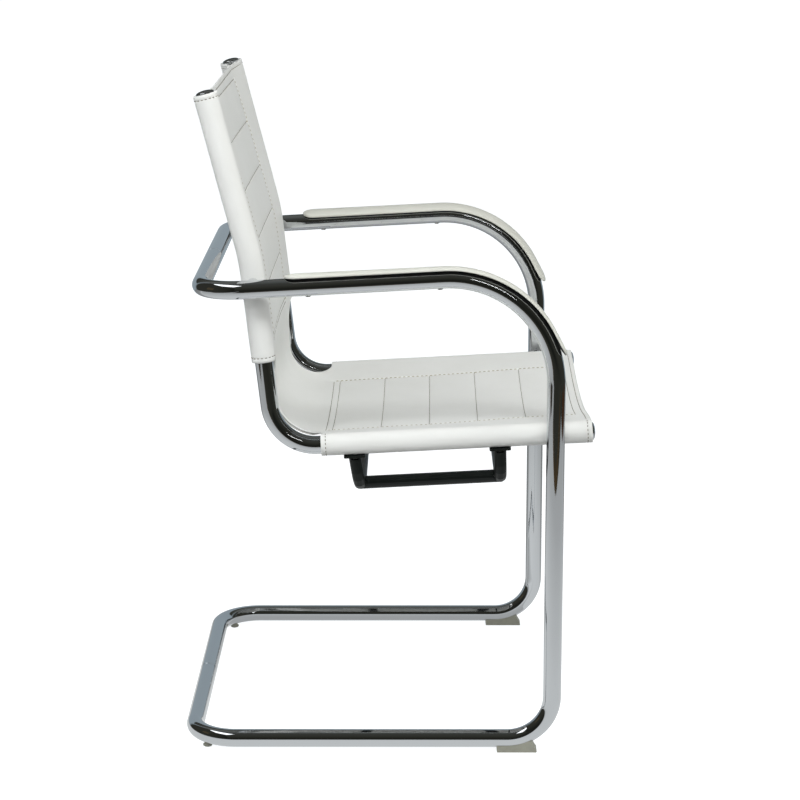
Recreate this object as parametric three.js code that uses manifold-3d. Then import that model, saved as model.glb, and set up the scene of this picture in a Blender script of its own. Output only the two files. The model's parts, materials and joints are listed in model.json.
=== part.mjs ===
// Sled base visitor chair: a bent tube frame, two L-shaped side tubes, a leather sling and arm pads.
// Millimetres. Z is up, the floor is Z = 0, the chair's front faces -Y, the sitter's right is -X.
// It is modelled with the front legs' axis on Y = 0 and centred in its own box at the end.

import * as THREE from 'three';
import { mergeVertices } from 'three/addons/utils/BufferGeometryUtils.js';
import Module from 'manifold-3d';

const wasm = await Module();
wasm.setup();

// Frame tube
const tubeDiameter = 25;
const tubeWall = 2;
const frameWidth = 560;
const floorClearance = 5.2;
const floorRailLength = 501.6;
const crossbarReach = 72.2;
const armCrownHeight = 676.2;
const armSlope = 3.07;
const cornerBendRadius = 62;
const armBendShare = 0.6236;
const spliceLength = 70;
const spliceWall = 2.5;

// Side tubes: the L under the sling, from the top of the back to the front of the seat
const sideTubeInset = 45.5;
const seatFrontReach = 52.5;
const seatFrontHeight = 448;
const seatSlope = 2.95;
const seatLength = 435;
const lowerBackLean = 6.4;
const lowerBackLength = 263.3;
const upperBackLean = 14.3;
const upperBackLength = 229.5;
const lumbarBendRadius = 330;
const capRise = 4;
const capPlugLength = 12;
const capWall = 2;

// Leather sling: a panel between the side tubes and a sleeve sewn round each stretch of tube
const backSleeveThickness = 3.7;
const seatSleeveThickness = 2.7;
const sleeveBackGap = 63.8;
const sleeveSeatGap = 5;
const panelThickness = 4;
const panelEdgeRise = 0.4;
const backSag = 16.5;
const seatSag = 27;
const topHemBow = 5;
const frontHemBow = 2;
const flareStartShare = 0.225;
const flareDip = 35;
const flarePower = 2.5;
const notchInset = 52;
const notchSeatRun = 75;
const notchBackRun = 26;

// Arm pads and their screws
const padWidth = 32;
const padThickness = 6;
const padTipThickness = 4;
const padCup = 1.6;
const padTilt = 9;
const padRearGap = 44.8;
const padBendShare = 0.7;
const padFlapLength = 38;
const padEndRound = 17;
const padBluntShare = 0.2;
const padCrownShare = 0.45;
const padEdgeShare = 0.5;
const padRecessDip = 0.9;
const padCoreWidth = 22;
const padCoreThickness = 2.2;
const padCoreInset = 24;
const padScrewRearInset = 30;
const padScrewBendGap = 5;
const padScrewDiameter = 4;
const padScrewHeadDiameter = 8;
const padScrewHeadHeight = 1.4;
const screwDomeShares = { width: 0.6, high: 0.8, low: 0.2 };

// Joints between the side tubes and the frame
const jointBoltDiameter = 6;
const jointBoltHeadDiameter = 11;
const jointBoltHeadHeight = 3.6;
const buttonTopShare = 0.7;
const buttonEdgeShare = 0.45;
const jointSocketAcross = 4;
const jointSocketDepth = 2;
const spacerDiameter = 20;
const insertDiameter = 9;
const insertLength = 13;
const insertCollarDiameter = 12;
const insertCollarLength = 2;

// Black brace under the seat
const braceDiameter = 17;
const tieDiameter = 18;
const braceWall = 1.5;
const braceDrop = 62.2;
const braceBendRadius = 20;
const braceFrontReach = 126.8;
const braceRearReach = 326.7;
const braceFrontLean = -1.5;
const braceRearLean = 6.5;
const tieInset = 20;
const flangeLength = 29.4;
const flangeWidth = 22;
const flangeThickness = 3;
const flangeRound = 3;
const braceBoltDiameter = 6;
const braceBoltHeadDiameter = 9.6;
const braceBoltHeadHeight = 3.4;
const braceBoltReach = 3;
const braceSlotWidth = 9.6;
const braceSlotHeight = 2.6;
const braceSlotDrop = 2.4;

// Glides
const wedgeWidth = 20;
const wedgeRearReach = 76.4;
const wedgeFrontReach = 20.8;
const wedgeNoseHeight = 2.6;
const wedgeTopReach = 30.2;
const wedgeRound = 1.4;
const glideDiameter = 13;
const glideFootHeight = 2.8;
const glideTurn = 48;
const glideNeckDiameter = 9;
const glideRound = 1;
const glidePegDiameter = 5;
const glidePegReach = 7;
const wedgePegShare = 0.3;

// Fits and facets
const clearance = 0.3;
const overrun = 4;
const facetSag = 0.45;
const tubeSides = 16;
const boreSides = 12;
const boltSides = 12;
const hexSides = 6;
const cornerSegments = 3;
const domeSteps = 5;
const contactSteps = 40;
const panelColumnShares = [-1, -0.9, -0.78, -0.62, -0.42, -0.21, 0, 0.21, 0.42, 0.62, 0.78, 0.9, 1];
const panelEdgeSteps = 4;
const notchStepShares = [0.2, 0.45, 0.75, 1];
const padEndShares = [0, 0.12, 0.35, 0.65, 1];
const padAcrossShares = [0.94, 0.5, 0, -0.5, -0.94];

// Sizes worked out from the ones above
const tubeRadius = tubeDiameter / 2;
const boreRadius = tubeRadius - tubeWall;
const railHeight = floorClearance + tubeRadius;
const railSpread = (frameWidth - tubeDiameter) / 2;
const sideSpread = railSpread - sideTubeInset;
const notchHalfWidth = sideSpread - notchInset;
const flareHalfWidth = sideSpread * flareStartShare;
const sleeveInner = tubeRadius + clearance;
const backSleeveOuter = sleeveInner + backSleeveThickness;
const seatSleeveOuter = sleeveInner + seatSleeveThickness;
const braceRadius = braceDiameter / 2;
const braceBore = braceRadius - braceWall;
const tieSpread = sideSpread - tieInset;

const sides = { right: -1, left: 1 };
const across = new THREE.Vector3(1, 0, 0);
const up = new THREE.Vector3(0, 0, 1);
const radians = THREE.MathUtils.degToRad;
const slopeOf = (degrees) => Math.tan(radians(degrees));
const legJointHeight = seatFrontHeight - seatFrontReach * slopeOf(seatSlope);
const armBendRadius = armBendShare * (armCrownHeight - legJointHeight);
const armTurn = radians(90 + armSlope);
const armBendSetback = armBendRadius * Math.tan(armTurn / 2);

const materials = {
  chrome: new THREE.MeshStandardMaterial({ color: 0xc3cacd, roughness: 0.08, metalness: 1 }),
  leather: new THREE.MeshStandardMaterial({ color: 0xe4e5e1, roughness: 0.55, metalness: 0 }),
  blackPaint: new THREE.MeshStandardMaterial({ color: 0x1d1f1e, roughness: 0.45, metalness: 0 }),
  glide: new THREE.MeshStandardMaterial({ color: 0xa0a091, roughness: 0.6, metalness: 0 }),
  zinc: new THREE.MeshStandardMaterial({ color: 0xa9aaa6, roughness: 0.35, metalness: 1 }),
  brass: new THREE.MeshStandardMaterial({ color: 0xb08d4a, roughness: 0.4, metalness: 1 }),
  core: new THREE.MeshStandardMaterial({ color: 0x9a8264, roughness: 0.8, metalness: 0 }),
};

// A centre line of straight runs joined by arcs. at() gives the place, the direction of travel
// and a side vector at any distance; the side vector turns only where the line turns.
class BentLine {
  constructor(corners, radii, firstSide) {
    this.runs = [];
    this.length = 0;
    let start = corners[0].clone();
    let side = firstSide.clone();
    corners.slice(1).forEach((corner, index) => {
      const direction = corner.clone().sub(start).normalize();
      const after = corners[index + 2];
      if (!after) {
        this.addStraight(start, corner, direction, side);
        return;
      }
      const nextDirection = after.clone().sub(corner).normalize();
      const turn = direction.angleTo(nextDirection);
      const axis = direction.clone().cross(nextDirection).normalize();
      const radius = radii[index];
      const bendStart = corner.clone().addScaledVector(direction, -radius * Math.tan(turn / 2));
      this.addStraight(start, bendStart, direction, side);
      const centre = bendStart.clone().addScaledVector(axis.clone().cross(direction), radius);
      this.addArc(bendStart, centre, axis, turn, radius, direction, side);
      start = corner.clone().addScaledVector(nextDirection, radius * Math.tan(turn / 2));
      side = side.clone().applyAxisAngle(axis, turn);
    });
  }

  addStraight(start, end, direction, side) {
    const at = (distance) => ({
      point: start.clone().addScaledVector(direction, distance),
      direction: direction.clone(),
      side: side.clone(),
    });
    this.addRun({ length: start.distanceTo(end), steps: 1, at });
  }

  addArc(start, centre, axis, turn, radius, direction, side) {
    const arm = start.clone().sub(centre);
    const at = (distance) => {
      const angle = distance / radius;
      return {
        point: centre.clone().add(arm.clone().applyAxisAngle(axis, angle)),
        direction: direction.clone().applyAxisAngle(axis, angle),
        side: side.clone().applyAxisAngle(axis, angle),
      };
    };
    const steps = Math.max(2, Math.round(turn * Math.sqrt(radius / (8 * facetSag))));
    this.addRun({ length: radius * turn, steps, at });
  }

  addRun(run) {
    this.runs.push({ ...run, from: this.length });
    this.length += run.length;
  }

  at(distance) {
    const run = this.runs.find((each) => distance <= each.from + each.length) ?? this.runs.at(-1);
    const station = run.at(distance - run.from);
    station.out = station.direction.clone().cross(station.side);
    return station;
  }

  // Distances between two marks: both marks, every run's end and the steps within each arc
  stops(from, to) {
    const inner = this.runs.flatMap((run) => {
      const shares = Array.from({ length: run.steps }, (_, step) => (step + 1) / run.steps);
      return shares.map((share) => run.from + share * run.length);
    });
    const spacing = clearance;
    return [from, ...inner.filter((stop) => stop > from + spacing && stop < to - spacing), to];
  }
}

// An extrude path that visits exactly the stops it is given
class StopPath extends THREE.Curve {
  constructor(line, stops) {
    super();
    this.stations = stops.map((stop) => line.at(stop));
  }

  getPointAt(share) {
    return this.stations[Math.round(share * (this.stations.length - 1))].point;
  }

  computeFrenetFrames() {
    return {
      tangents: this.stations.map((station) => station.direction),
      normals: this.stations.map((station) => station.side),
      binormals: this.stations.map((station) => station.out),
    };
  }
}

function bare(geometry) {
  const merged = geometry.clone();
  merged.deleteAttribute('normal');
  merged.deleteAttribute('uv');
  return mergeVertices(merged);
}

function toSolid(geometry) {
  const merged = bare(geometry);
  const vertProperties = new Float32Array(merged.attributes.position.array);
  const triVerts = new Uint32Array(merged.index.array);
  return new wasm.Manifold(new wasm.Mesh({ numProp: 3, vertProperties, triVerts }));
}

function toGeometry(solid) {
  const mesh = solid.getMesh();
  const geometry = new THREE.BufferGeometry();
  geometry.setAttribute('position', new THREE.BufferAttribute(new Float32Array(mesh.vertProperties), 3));
  geometry.setIndex(new THREE.BufferAttribute(new Uint32Array(mesh.triVerts), 1));
  return geometry;
}

function cut(geometry, tools) {
  const solid = tools.reduce((rest, tool) => rest.subtract(toSolid(tool)), toSolid(geometry));
  return toGeometry(solid);
}

function join(geometries) {
  const solid = geometries.slice(1).reduce((all, each) => all.add(toSolid(each)), toSolid(geometries[0]));
  return toGeometry(solid);
}

function polygonPath(radius, sideCount) {
  const corners = Array.from({ length: sideCount }, (_, index) => {
    const angle = (2 * Math.PI * index) / sideCount;
    return new THREE.Vector2(radius * Math.cos(angle), radius * Math.sin(angle));
  });
  return corners;
}

function ringShape(outer, inner, outerSides = tubeSides, innerSides = boreSides) {
  const shape = new THREE.Shape(polygonPath(outer, outerSides));
  if (inner > 0) shape.holes.push(new THREE.Path(polygonPath(inner, innerSides)));
  return shape;
}

function sweep(shape, line, from = 0, to = line.length) {
  const stops = line.stops(from, to);
  const extrudePath = new StopPath(line, stops);
  return new THREE.ExtrudeGeometry(shape, { steps: stops.length - 1, bevelEnabled: false, extrudePath });
}

// Skins a row of closed outlines that have the same number of points. Each ring holds its points
// in space and, for the two lids, its flat outline.
function skin(rings) {
  const count = rings[0].points.length;
  const corners = rings.flatMap((ring) => ring.points.flatMap((point) => point.toArray()));
  const faces = [];
  for (let ring = 0; ring < rings.length - 1; ring += 1) {
    for (let index = 0; index < count; index += 1) {
      const next = (index + 1) % count;
      const here = ring * count;
      const there = here + count;
      faces.push(here + index, here + next, there + next);
      faces.push(here + index, there + next, there + index);
    }
  }
  const lidOf = (ring) => THREE.ShapeUtils.triangulateShape(ring.outline, []);
  const last = (rings.length - 1) * count;
  lidOf(rings[0]).forEach(([a, b, c]) => faces.push(a, c, b));
  lidOf(rings.at(-1)).forEach(([a, b, c]) => faces.push(last + a, last + b, last + c));
  const geometry = new THREE.BufferGeometry();
  geometry.setAttribute('position', new THREE.Float32BufferAttribute(corners, 3));
  geometry.setIndex(faces);
  return geometry;
}

// Places a flat outline (side, out) at a station of a line
function ringAt(station, outline) {
  const points = outline.map((flat) =>
    station.point.clone().addScaledVector(station.side, flat.x).addScaledVector(station.out, flat.y));
  return { points, outline };
}

// A turned piece: outline points are (radius, height), turned about Z
function turned(points, sideCount = boltSides) {
  const outline = points.map(([radius, height]) => new THREE.Vector2(radius, height));
  return new THREE.LatheGeometry(outline, sideCount).rotateX(Math.PI / 2);
}

// Stands a Z-up geometry at a place with its axis along a direction
function aim(geometry, place, direction) {
  const turn = new THREE.Quaternion().setFromUnitVectors(up, direction.clone().normalize());
  return geometry.clone().applyQuaternion(turn).translate(place.x, place.y, place.z);
}

function rod(radius, place, direction, from, to, sideCount = boltSides) {
  const geometry = new THREE.CylinderGeometry(radius, radius, to - from, sideCount);
  geometry.rotateX(Math.PI / 2).translate(0, 0, (from + to) / 2);
  return aim(geometry, place, direction);
}

// The corner radius of a faceted hole whose flats clear a round piece
const roundHole = (radius, sideCount = boltSides) => (radius + clearance) / Math.cos(Math.PI / sideCount);

// The radius of a piece that fits inside the flats of a faceted bore
const insideBore = (radius, sideCount = boreSides) => radius * Math.cos(Math.PI / sideCount) - clearance;

// Centre lines
function frameLine(side) {
  const spread = side * railSpread;
  const armRear = armRearReach();
  const armRearHeight = armHeightAt(armRear);
  const corners = [
    new THREE.Vector3(side * clearance / 2, floorRailLength, railHeight),
    new THREE.Vector3(spread, floorRailLength, railHeight),
    new THREE.Vector3(spread, 0, railHeight),
    new THREE.Vector3(spread, 0, armCrownHeight),
    new THREE.Vector3(spread, armRear, armRearHeight),
    new THREE.Vector3(side * clearance / 2, armRear, armRearHeight),
  ];
  const radii = [cornerBendRadius, cornerBendRadius, armBendRadius, cornerBendRadius];
  return new BentLine(corners, radii, up);
}

function sideTubeCorners(spread) {
  const front = new THREE.Vector3(spread, -seatFrontReach, seatFrontHeight);
  const seatAngle = radians(seatSlope);
  const heel = front.clone();
  heel.y += seatLength * Math.cos(seatAngle);
  heel.z -= seatLength * Math.sin(seatAngle);
  const lowerAngle = radians(lowerBackLean);
  const lumbar = heel.clone();
  lumbar.y += lowerBackLength * Math.sin(lowerAngle);
  lumbar.z += lowerBackLength * Math.cos(lowerAngle);
  const upperAngle = radians(upperBackLean);
  const top = lumbar.clone();
  top.y += upperBackLength * Math.sin(upperAngle);
  top.z += upperBackLength * Math.cos(upperAngle);
  return { front, heel, lumbar, top };
}

// Runs from the top of the back down to the heel and forward to the front of the seat, so that
// each station's out vector points at the sitter.
function sideLine(spread) {
  const { front, heel, lumbar, top } = sideTubeCorners(spread);
  return new BentLine([top, lumbar, heel, front], [lumbarBendRadius, cornerBendRadius], across);
}

// The arm pad follows the arm, goes round the big bend and leaves it in a straight flap
function padLine(side) {
  const rearReach = armCrossing().point.y - padRearGap;
  const rear = new THREE.Vector3(side * railSpread, rearReach, armHeightAt(rearReach));
  const forward = new THREE.Vector3(0, -Math.cos(radians(armSlope)), Math.sin(radians(armSlope)));
  const flapTurn = padBendShare * armTurn;
  const crown = new THREE.Vector3(side * railSpread, 0, armCrownHeight);
  const bendStart = crown.clone().addScaledVector(forward, -armBendSetback);
  const setback = armBendRadius * Math.tan(flapTurn / 2);
  const corner = bendStart.clone().addScaledVector(forward, setback);
  const flap = forward.clone().applyAxisAngle(across, flapTurn);
  const tip = corner.clone().addScaledVector(flap, setback + padFlapLength);
  return new BentLine([rear, corner, tip], [armBendRadius], across);
}

// Places on the frame where other pieces seat
function legJoint(side) {
  return new THREE.Vector3(side * railSpread, 0, legJointHeight);
}

// Height of the arm's axis at a distance behind the front legs
function armHeightAt(reach) {
  return armCrownHeight - reach * slopeOf(armSlope);
}

// Where the back of a side tube passes the arm, found by halving the stretch that holds it
function armCrossing() {
  const line = sideLine(sideSpread);
  const aboveArm = ({ point }) => point.z > armHeightAt(point.y);
  let high = 0;
  let low = line.runs.at(-2).from;
  for (let step = 0; step < contactSteps; step += 1) {
    const middle = (low + high) / 2;
    if (aboveArm(line.at(middle))) high = middle;
    else low = middle;
  }
  return line.at(high);
}

function armJoint(side) {
  return armCrossing().point.setX(side * railSpread);
}

// The rear crossbar runs behind the back
function armRearReach() {
  return armCrossing().point.y + crossbarReach;
}

function padScrewPlaces(side) {
  const out = new THREE.Vector3(0, Math.sin(radians(armSlope)), Math.cos(radians(armSlope)));
  const frontReach = armBendSetback + padScrewBendGap;
  const rearReach = armCrossing().point.y - padRearGap - padScrewRearInset;
  return [frontReach, rearReach].map((reach) => {
    const point = new THREE.Vector3(side * railSpread, reach, armHeightAt(reach));
    return { point, out };
  });
}

function wedgePegPlace(side) {
  const reach = wedgeRearReach - (wedgeRearReach - wedgeFrontReach) * wedgePegShare;
  return new THREE.Vector3(side * railSpread, reach, 0);
}

// The rear glide sits about halfway round the corner bend
function glidePlace(side) {
  const turn = radians(glideTurn);
  const spread = railSpread - cornerBendRadius * (1 - Math.sin(turn));
  return new THREE.Vector3(side * spread, floorRailLength - cornerBendRadius * (1 - Math.cos(turn)), 0);
}

function pegHole(place) {
  const radius = roundHole(glidePegDiameter / 2);
  return rod(radius, place, up, 0, railHeight);
}

// The frame: two mirrored halves, butted in the middle of both crossbars over inner splices
function frameHalf(side) {
  const line = frameLine(side);
  const blank = sweep(ringShape(tubeRadius, boreRadius), line);
  const inward = across.clone().multiplyScalar(-side);
  const insertRadius = roundHole(insertDiameter / 2);
  const insertHole = (place) => rod(insertRadius, place, inward, boreRadius / 2, tubeDiameter);
  const screwRadius = roundHole(padScrewDiameter / 2);
  const screwHole = ({ point, out }) => rod(screwRadius, point, out, -tubeDiameter, tubeDiameter);
  const tools = [
    insertHole(legJoint(side)),
    insertHole(armJoint(side)),
    ...padScrewPlaces(side).map(screwHole),
    pegHole(wedgePegPlace(side)),
    pegHole(glidePlace(side)),
  ];
  return cut(blank, tools);
}

function splice(place, sideVector) {
  const half = spliceLength / 2;
  const ends = [-half, half].map((offset) => place.clone().addScaledVector(across, offset));
  const line = new BentLine(ends, [], sideVector);
  const outer = insideBore(boreRadius) / Math.cos(Math.PI / boreSides);
  return sweep(ringShape(outer, outer - spliceWall, boreSides, boreSides), line);
}

function lowerSplice() {
  return splice(new THREE.Vector3(0, floorRailLength, railHeight), up);
}

function upperSplice() {
  const reach = armRearReach();
  const tilted = up.clone().applyAxisAngle(across, -radians(armSlope));
  return splice(new THREE.Vector3(0, reach, armHeightAt(reach)), tilted);
}

function boltHole(place) {
  return rod(roundHole(jointBoltDiameter / 2), place, across, -tubeDiameter, tubeDiameter);
}

// Where the joint bolts cross a side tube
function sideJoints(side) {
  return [legJoint(side), armJoint(side)].map((place) => place.setX(side * sideSpread));
}

// Where the brace flanges meet a side tube: a place on its axis and the way down from the seat
function braceStations(side) {
  const line = sideLine(side * sideSpread);
  return {
    front: line.at(line.length - braceFrontReach),
    rear: line.at(line.length - braceRearReach),
  };
}

function braceHole(station) {
  const down = station.out.clone().negate();
  return rod(roundHole(braceBoltDiameter / 2), station.point, down, boreRadius / 2, tubeDiameter);
}

function sideTube(side) {
  const blank = sweep(ringShape(tubeRadius, boreRadius), sideLine(side * sideSpread));
  const { front, rear } = braceStations(side);
  return cut(blank, [...sideJoints(side).map(boltHole), braceHole(front), braceHole(rear)]);
}

// Domed chrome plug in the end of a side tube, hollow from below
function endCap(side, atTop) {
  const plug = insideBore(boreRadius);
  const hollow = plug - capWall;
  const dome = Array.from({ length: domeSteps + 1 }, (_, step) => {
    const angle = (Math.PI / 2) * (step / domeSteps);
    return [tubeRadius * Math.cos(angle), clearance + capRise * Math.sin(angle)];
  });
  const profile = [
    [0, -capWall],
    [hollow, -capWall],
    [hollow, -capPlugLength],
    [plug, -capPlugLength],
    [plug, clearance],
    ...dome.slice(0, -1),
    [0, clearance + capRise],
  ];
  const line = sideLine(side * sideSpread);
  const station = line.at(atTop ? 0 : line.length);
  const outward = atTop ? station.direction.clone().negate() : station.direction;
  return aim(turned(profile, tubeSides), station.point, outward);
}

// Where the back sleeve ends and the seat sleeve starts, either side of the heel's bend
function sleeveEnds(line) {
  const heel = line.runs.at(-2);
  return { backEnd: heel.from - sleeveBackGap, seatStart: heel.from + heel.length + sleeveSeatGap };
}

// How far the panel hangs below its edges: least on the back, most in the heel and on the seat
function sagAt(distance, line) {
  const { backEnd } = sleeveEnds(line);
  const seatShare = THREE.MathUtils.smoothstep(distance, backEnd, line.runs.at(-2).from);
  return THREE.MathUtils.lerp(backSag, seatSag, seatShare);
}

// Outer radius of the sleeve beside a stretch of the panel
function sleeveRadiusAt(distance, line) {
  const { backEnd, seatStart } = sleeveEnds(line);
  const share = THREE.MathUtils.smoothstep(distance, backEnd, seatStart);
  return THREE.MathUtils.lerp(backSleeveOuter, seatSleeveOuter, share);
}

// Height of the panel's face over the side tubes' axis plane: a shallow parabola
function panelFace(x, sag, edge) {
  return edge - sag * (1 - (x / sideSpread) ** 2);
}

// The angle about the side tube at which the panel's face runs onto the sleeve
function panelContact(sag, edge, reach) {
  let low = notchHalfWidth;
  let high = sideSpread;
  for (let step = 0; step < contactSteps; step += 1) {
    const middle = (low + high) / 2;
    const gap = Math.hypot(sideSpread - middle, panelFace(middle, sag, edge));
    if (gap > reach) low = middle;
    else high = middle;
  }
  return Math.atan2(panelFace(low, sag, edge), sideSpread - low);
}

// Share of the way from the notch's narrow stretch (0) out to a sleeve (1)
function notchShare(distance, line) {
  const { backEnd, seatStart } = sleeveEnds(line);
  const backShare = THREE.MathUtils.clamp(1 - (distance - backEnd) / notchBackRun, 0, 1);
  const seatShare = THREE.MathUtils.clamp(1 - (seatStart - distance) / notchSeatRun, 0, 1);
  const share = Math.max(backShare, seatShare);
  return 1 - Math.sqrt(1 - share ** 2);
}

// One cross-section of the panel. Beside a sleeve its edge lies against the sleeve and its
// underside flares back round it, as two layers of leather do; in the notch its edge is plain.
function panelOutline(distance, line) {
  const sag = sagAt(distance, line);
  const radius = sleeveRadiusAt(distance, line);
  const edge = radius + panelEdgeRise * sag / seatSag;
  const share = notchShare(distance, line);
  const faceAngle = panelContact(sag, edge, radius + clearance);
  const turn = (faceAngle + radians(flareDip)) / panelEdgeSteps;
  const reach = (radius + clearance) / Math.cos(turn / 2);
  const notchFace = panelFace(notchHalfWidth, sag, edge);
  const edgePoints = Array.from({ length: panelEdgeSteps + 1 }, (_, step) => {
    const angle = faceAngle - step * turn;
    const inNotch = notchFace - panelThickness * step / panelEdgeSteps;
    const x = THREE.MathUtils.lerp(notchHalfWidth, sideSpread - reach * Math.cos(angle), share);
    return new THREE.Vector2(x, THREE.MathUtils.lerp(inNotch, reach * Math.sin(angle), share));
  });
  const faceEdge = edgePoints[0];
  const underEdge = edgePoints.at(-1);
  const flare = panelFace(underEdge.x, sag, edge) - panelThickness - underEdge.y;
  const face = panelColumnShares.slice(1, -1).map((columnShare) => {
    const x = -columnShare * faceEdge.x;
    return new THREE.Vector2(x, panelFace(x, sag, edge));
  });
  const under = panelColumnShares.slice(1, -1).map((columnShare) => {
    const x = columnShare * underEdge.x;
    const beyond = (Math.abs(x) - flareHalfWidth) / (underEdge.x - flareHalfWidth);
    const outer = THREE.MathUtils.clamp(beyond, 0, 1);
    return new THREE.Vector2(x, panelFace(x, sag, edge) - panelThickness - flare * outer ** flarePower);
  });
  const farEdge = edgePoints.map((point) => new THREE.Vector2(-point.x, point.y));
  return [...under, ...edgePoints.toReversed(), ...face, ...farEdge];
}

// Draws a hem in towards the middle of the panel, most on the centre line
function bowHem(ring, direction, bow) {
  ring.points.forEach((point, index) => {
    const share = 1 - (ring.outline[index].x / sideSpread) ** 2;
    point.addScaledVector(direction, bow * share);
  });
}

// The panel: one leather sheet from the top of the back round the heel to the front of the seat,
// hung between the sleeves, cut back in a notch where the tubes turn and bowed in at its two hems.
function slingPanel() {
  const line = sideLine(0);
  const { backEnd, seatStart } = sleeveEnds(line);
  const extra = notchStepShares.flatMap((share) => [
    backEnd + share * notchBackRun,
    seatStart - share * notchSeatRun,
  ]);
  const all = [...line.stops(0, line.length), backEnd, seatStart, ...extra];
  const stops = all.sort((a, b) => a - b);
  const spaced = stops.filter((stop, index) => index === 0 || stop - stops[index - 1] > 2 * clearance);
  const rings = spaced.map((stop) => ringAt(line.at(stop), panelOutline(stop, line)));
  bowHem(rings[0], line.at(0).direction, topHemBow);
  bowHem(rings.at(-1), line.at(line.length).direction, -frontHemBow);
  return cut(skin(rings), Object.values(sides).flatMap(boltPockets));
}

// Room in the panel's edges for the heads of the joint bolts
function boltPockets(side) {
  const inward = across.clone().multiplyScalar(-side);
  const outers = [seatSleeveOuter, backSleeveOuter];
  return sideJoints(side).map((place, index) => {
    const depth = outers[index] + jointBoltHeadHeight + 2 * clearance;
    return rod(roundHole(jointBoltHeadDiameter / 2), place, inward, tubeRadius, depth);
  });
}

function sleeve(side, outer, from, to) {
  const shape = ringShape(outer, sleeveInner, tubeSides, tubeSides);
  return sweep(shape, sideLine(side * sideSpread), from, to);
}

function backSleeve(side) {
  const line = sideLine(side * sideSpread);
  return cut(sleeve(side, backSleeveOuter, 0, sleeveEnds(line).backEnd), [boltHole(sideJoints(side)[1])]);
}

function seatSleeve(side) {
  const line = sideLine(side * sideSpread);
  const { front, rear } = braceStations(side);
  const blank = sleeve(side, seatSleeveOuter, sleeveEnds(line).seatStart, line.length);
  return cut(blank, [boltHole(sideJoints(side)[0]), braceHole(front), braceHole(rear)]);
}

// Turns a flat (across, out) outline so that the pad leans towards the sitter
function tilted(outline, side) {
  const angle = side * radians(padTilt);
  return outline.map((flat) => flat.clone().rotateAround(new THREE.Vector2(0, 0), angle));
}

// Half width of a pad near its rounded ends
function padHalfWidth(distance, line, halfWidth) {
  const fromEnd = Math.min(distance, line.length - distance);
  const share = THREE.MathUtils.clamp(1 - fromEnd / padEndRound, 0, 1);
  return halfWidth * Math.sqrt(1 - share ** 2 * (1 - padBluntShare ** 2));
}

function padUnderside(x) {
  return tubeRadius + clearance - padCup * (x / (padWidth / 2)) ** 2;
}

// Leather over foam: flat below, crowned above, thinner towards the front flap
function padBody(side) {
  const line = padLine(side);
  const ends = padEndShares.flatMap((share) => [share * padEndRound, line.length - share * padEndRound]);
  const inner = line.stops(padEndRound, line.length - padEndRound).slice(1, -1);
  const stops = [...ends, ...inner].sort((a, b) => a - b);
  const rings = stops.map((distance) => {
    const half = padHalfWidth(distance, line, padWidth / 2);
    const thickness = THREE.MathUtils.lerp(padThickness, padTipThickness, distance / line.length);
    const full = thickness * Math.min(1, half / (padWidth / 2) + padBluntShare);
    const underside = padAcrossShares.map((share) =>
      new THREE.Vector2(-share * half, padUnderside(share * half)));
    const edge = (sign) => new THREE.Vector2(sign * half, padUnderside(half) + full * padEdgeShare);
    const face = padAcrossShares.map((share) => {
      const x = share * half;
      return new THREE.Vector2(x, padUnderside(x) + full * Math.sqrt(1 - padCrownShare * share ** 2));
    });
    return ringAt(line.at(distance), tilted([...underside, edge(1), ...face, edge(-1)], side));
  });
  return skin(rings);
}

// A strip bent to the arm; grown by a fit it is also the recess that the pad has for it
function padStrip(side, growth, dip) {
  const line = padLine(side);
  const half = padCoreWidth / 2 + growth;
  const stops = line.stops(padCoreInset - growth, line.length - padCoreInset + growth);
  const shares = [-1, 0, 1];
  const rings = stops.map((distance) => {
    const under = shares.map((share) => {
      const x = share * half;
      return new THREE.Vector2(x, padUnderside(x) - dip);
    });
    const top = shares.map((share) => {
      const x = -share * half;
      return new THREE.Vector2(x, padUnderside(x) + padCoreThickness + growth);
    });
    return ringAt(line.at(distance), tilted([...under, ...top], side));
  });
  return skin(rings);
}

function armPad(side) {
  return cut(padBody(side), [padStrip(side, clearance, padRecessDip)]);
}

function padCore(side) {
  const radius = roundHole(padScrewDiameter / 2);
  const screwHole = ({ point, out }) => rod(radius, point, out, 0, tubeDiameter);
  return cut(padStrip(side, 0, 0), padScrewPlaces(side).map(screwHole));
}

// Round-headed screw from below the arm tube up into the pad's core
function padScrew(side, index) {
  const { point, out } = padScrewPlaces(side)[index];
  const shank = padScrewDiameter / 2;
  const head = padScrewHeadDiameter / 2;
  const seat = -tubeRadius - clearance;
  const tip = tubeRadius + clearance + padCoreThickness / 2;
  const profile = [
    [0, seat - padScrewHeadHeight],
    [head * screwDomeShares.width, seat - padScrewHeadHeight * screwDomeShares.high],
    [head, seat - padScrewHeadHeight * screwDomeShares.low],
    [head, seat],
    [shank, seat],
    [shank, tip - shank],
    [0, tip],
  ];
  return aim(turned(profile), point, out);
}

// Round spacer between a sleeve and the frame, saddled to both tubes
function jointSpacer(side, place, sleeveOuter, sideDirection, frameDirection) {
  const outward = across.clone().multiplyScalar(side);
  const gap = railSpread - sideSpread;
  const start = place.clone().setX(side * sideSpread);
  const blank = rod(spacerDiameter / 2, start, outward, 0, gap, tubeSides);
  const bore = rod(roundHole(jointBoltDiameter / 2), start, outward, -overrun, gap + overrun);
  const saddle = (radius, centre, direction) =>
    rod(radius + clearance, centre, direction, -tubeDiameter, tubeDiameter, 2 * tubeSides);
  const sleeveSide = saddle(sleeveOuter, start, sideDirection);
  const frameSide = saddle(tubeRadius, place, frameDirection);
  const insertSeat = rod(roundHole(insertDiameter / 2), place, outward, -tubeRadius - overrun, 0);
  return cut(blank, [bore, sleeveSide, frameSide, insertSeat]);
}

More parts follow.
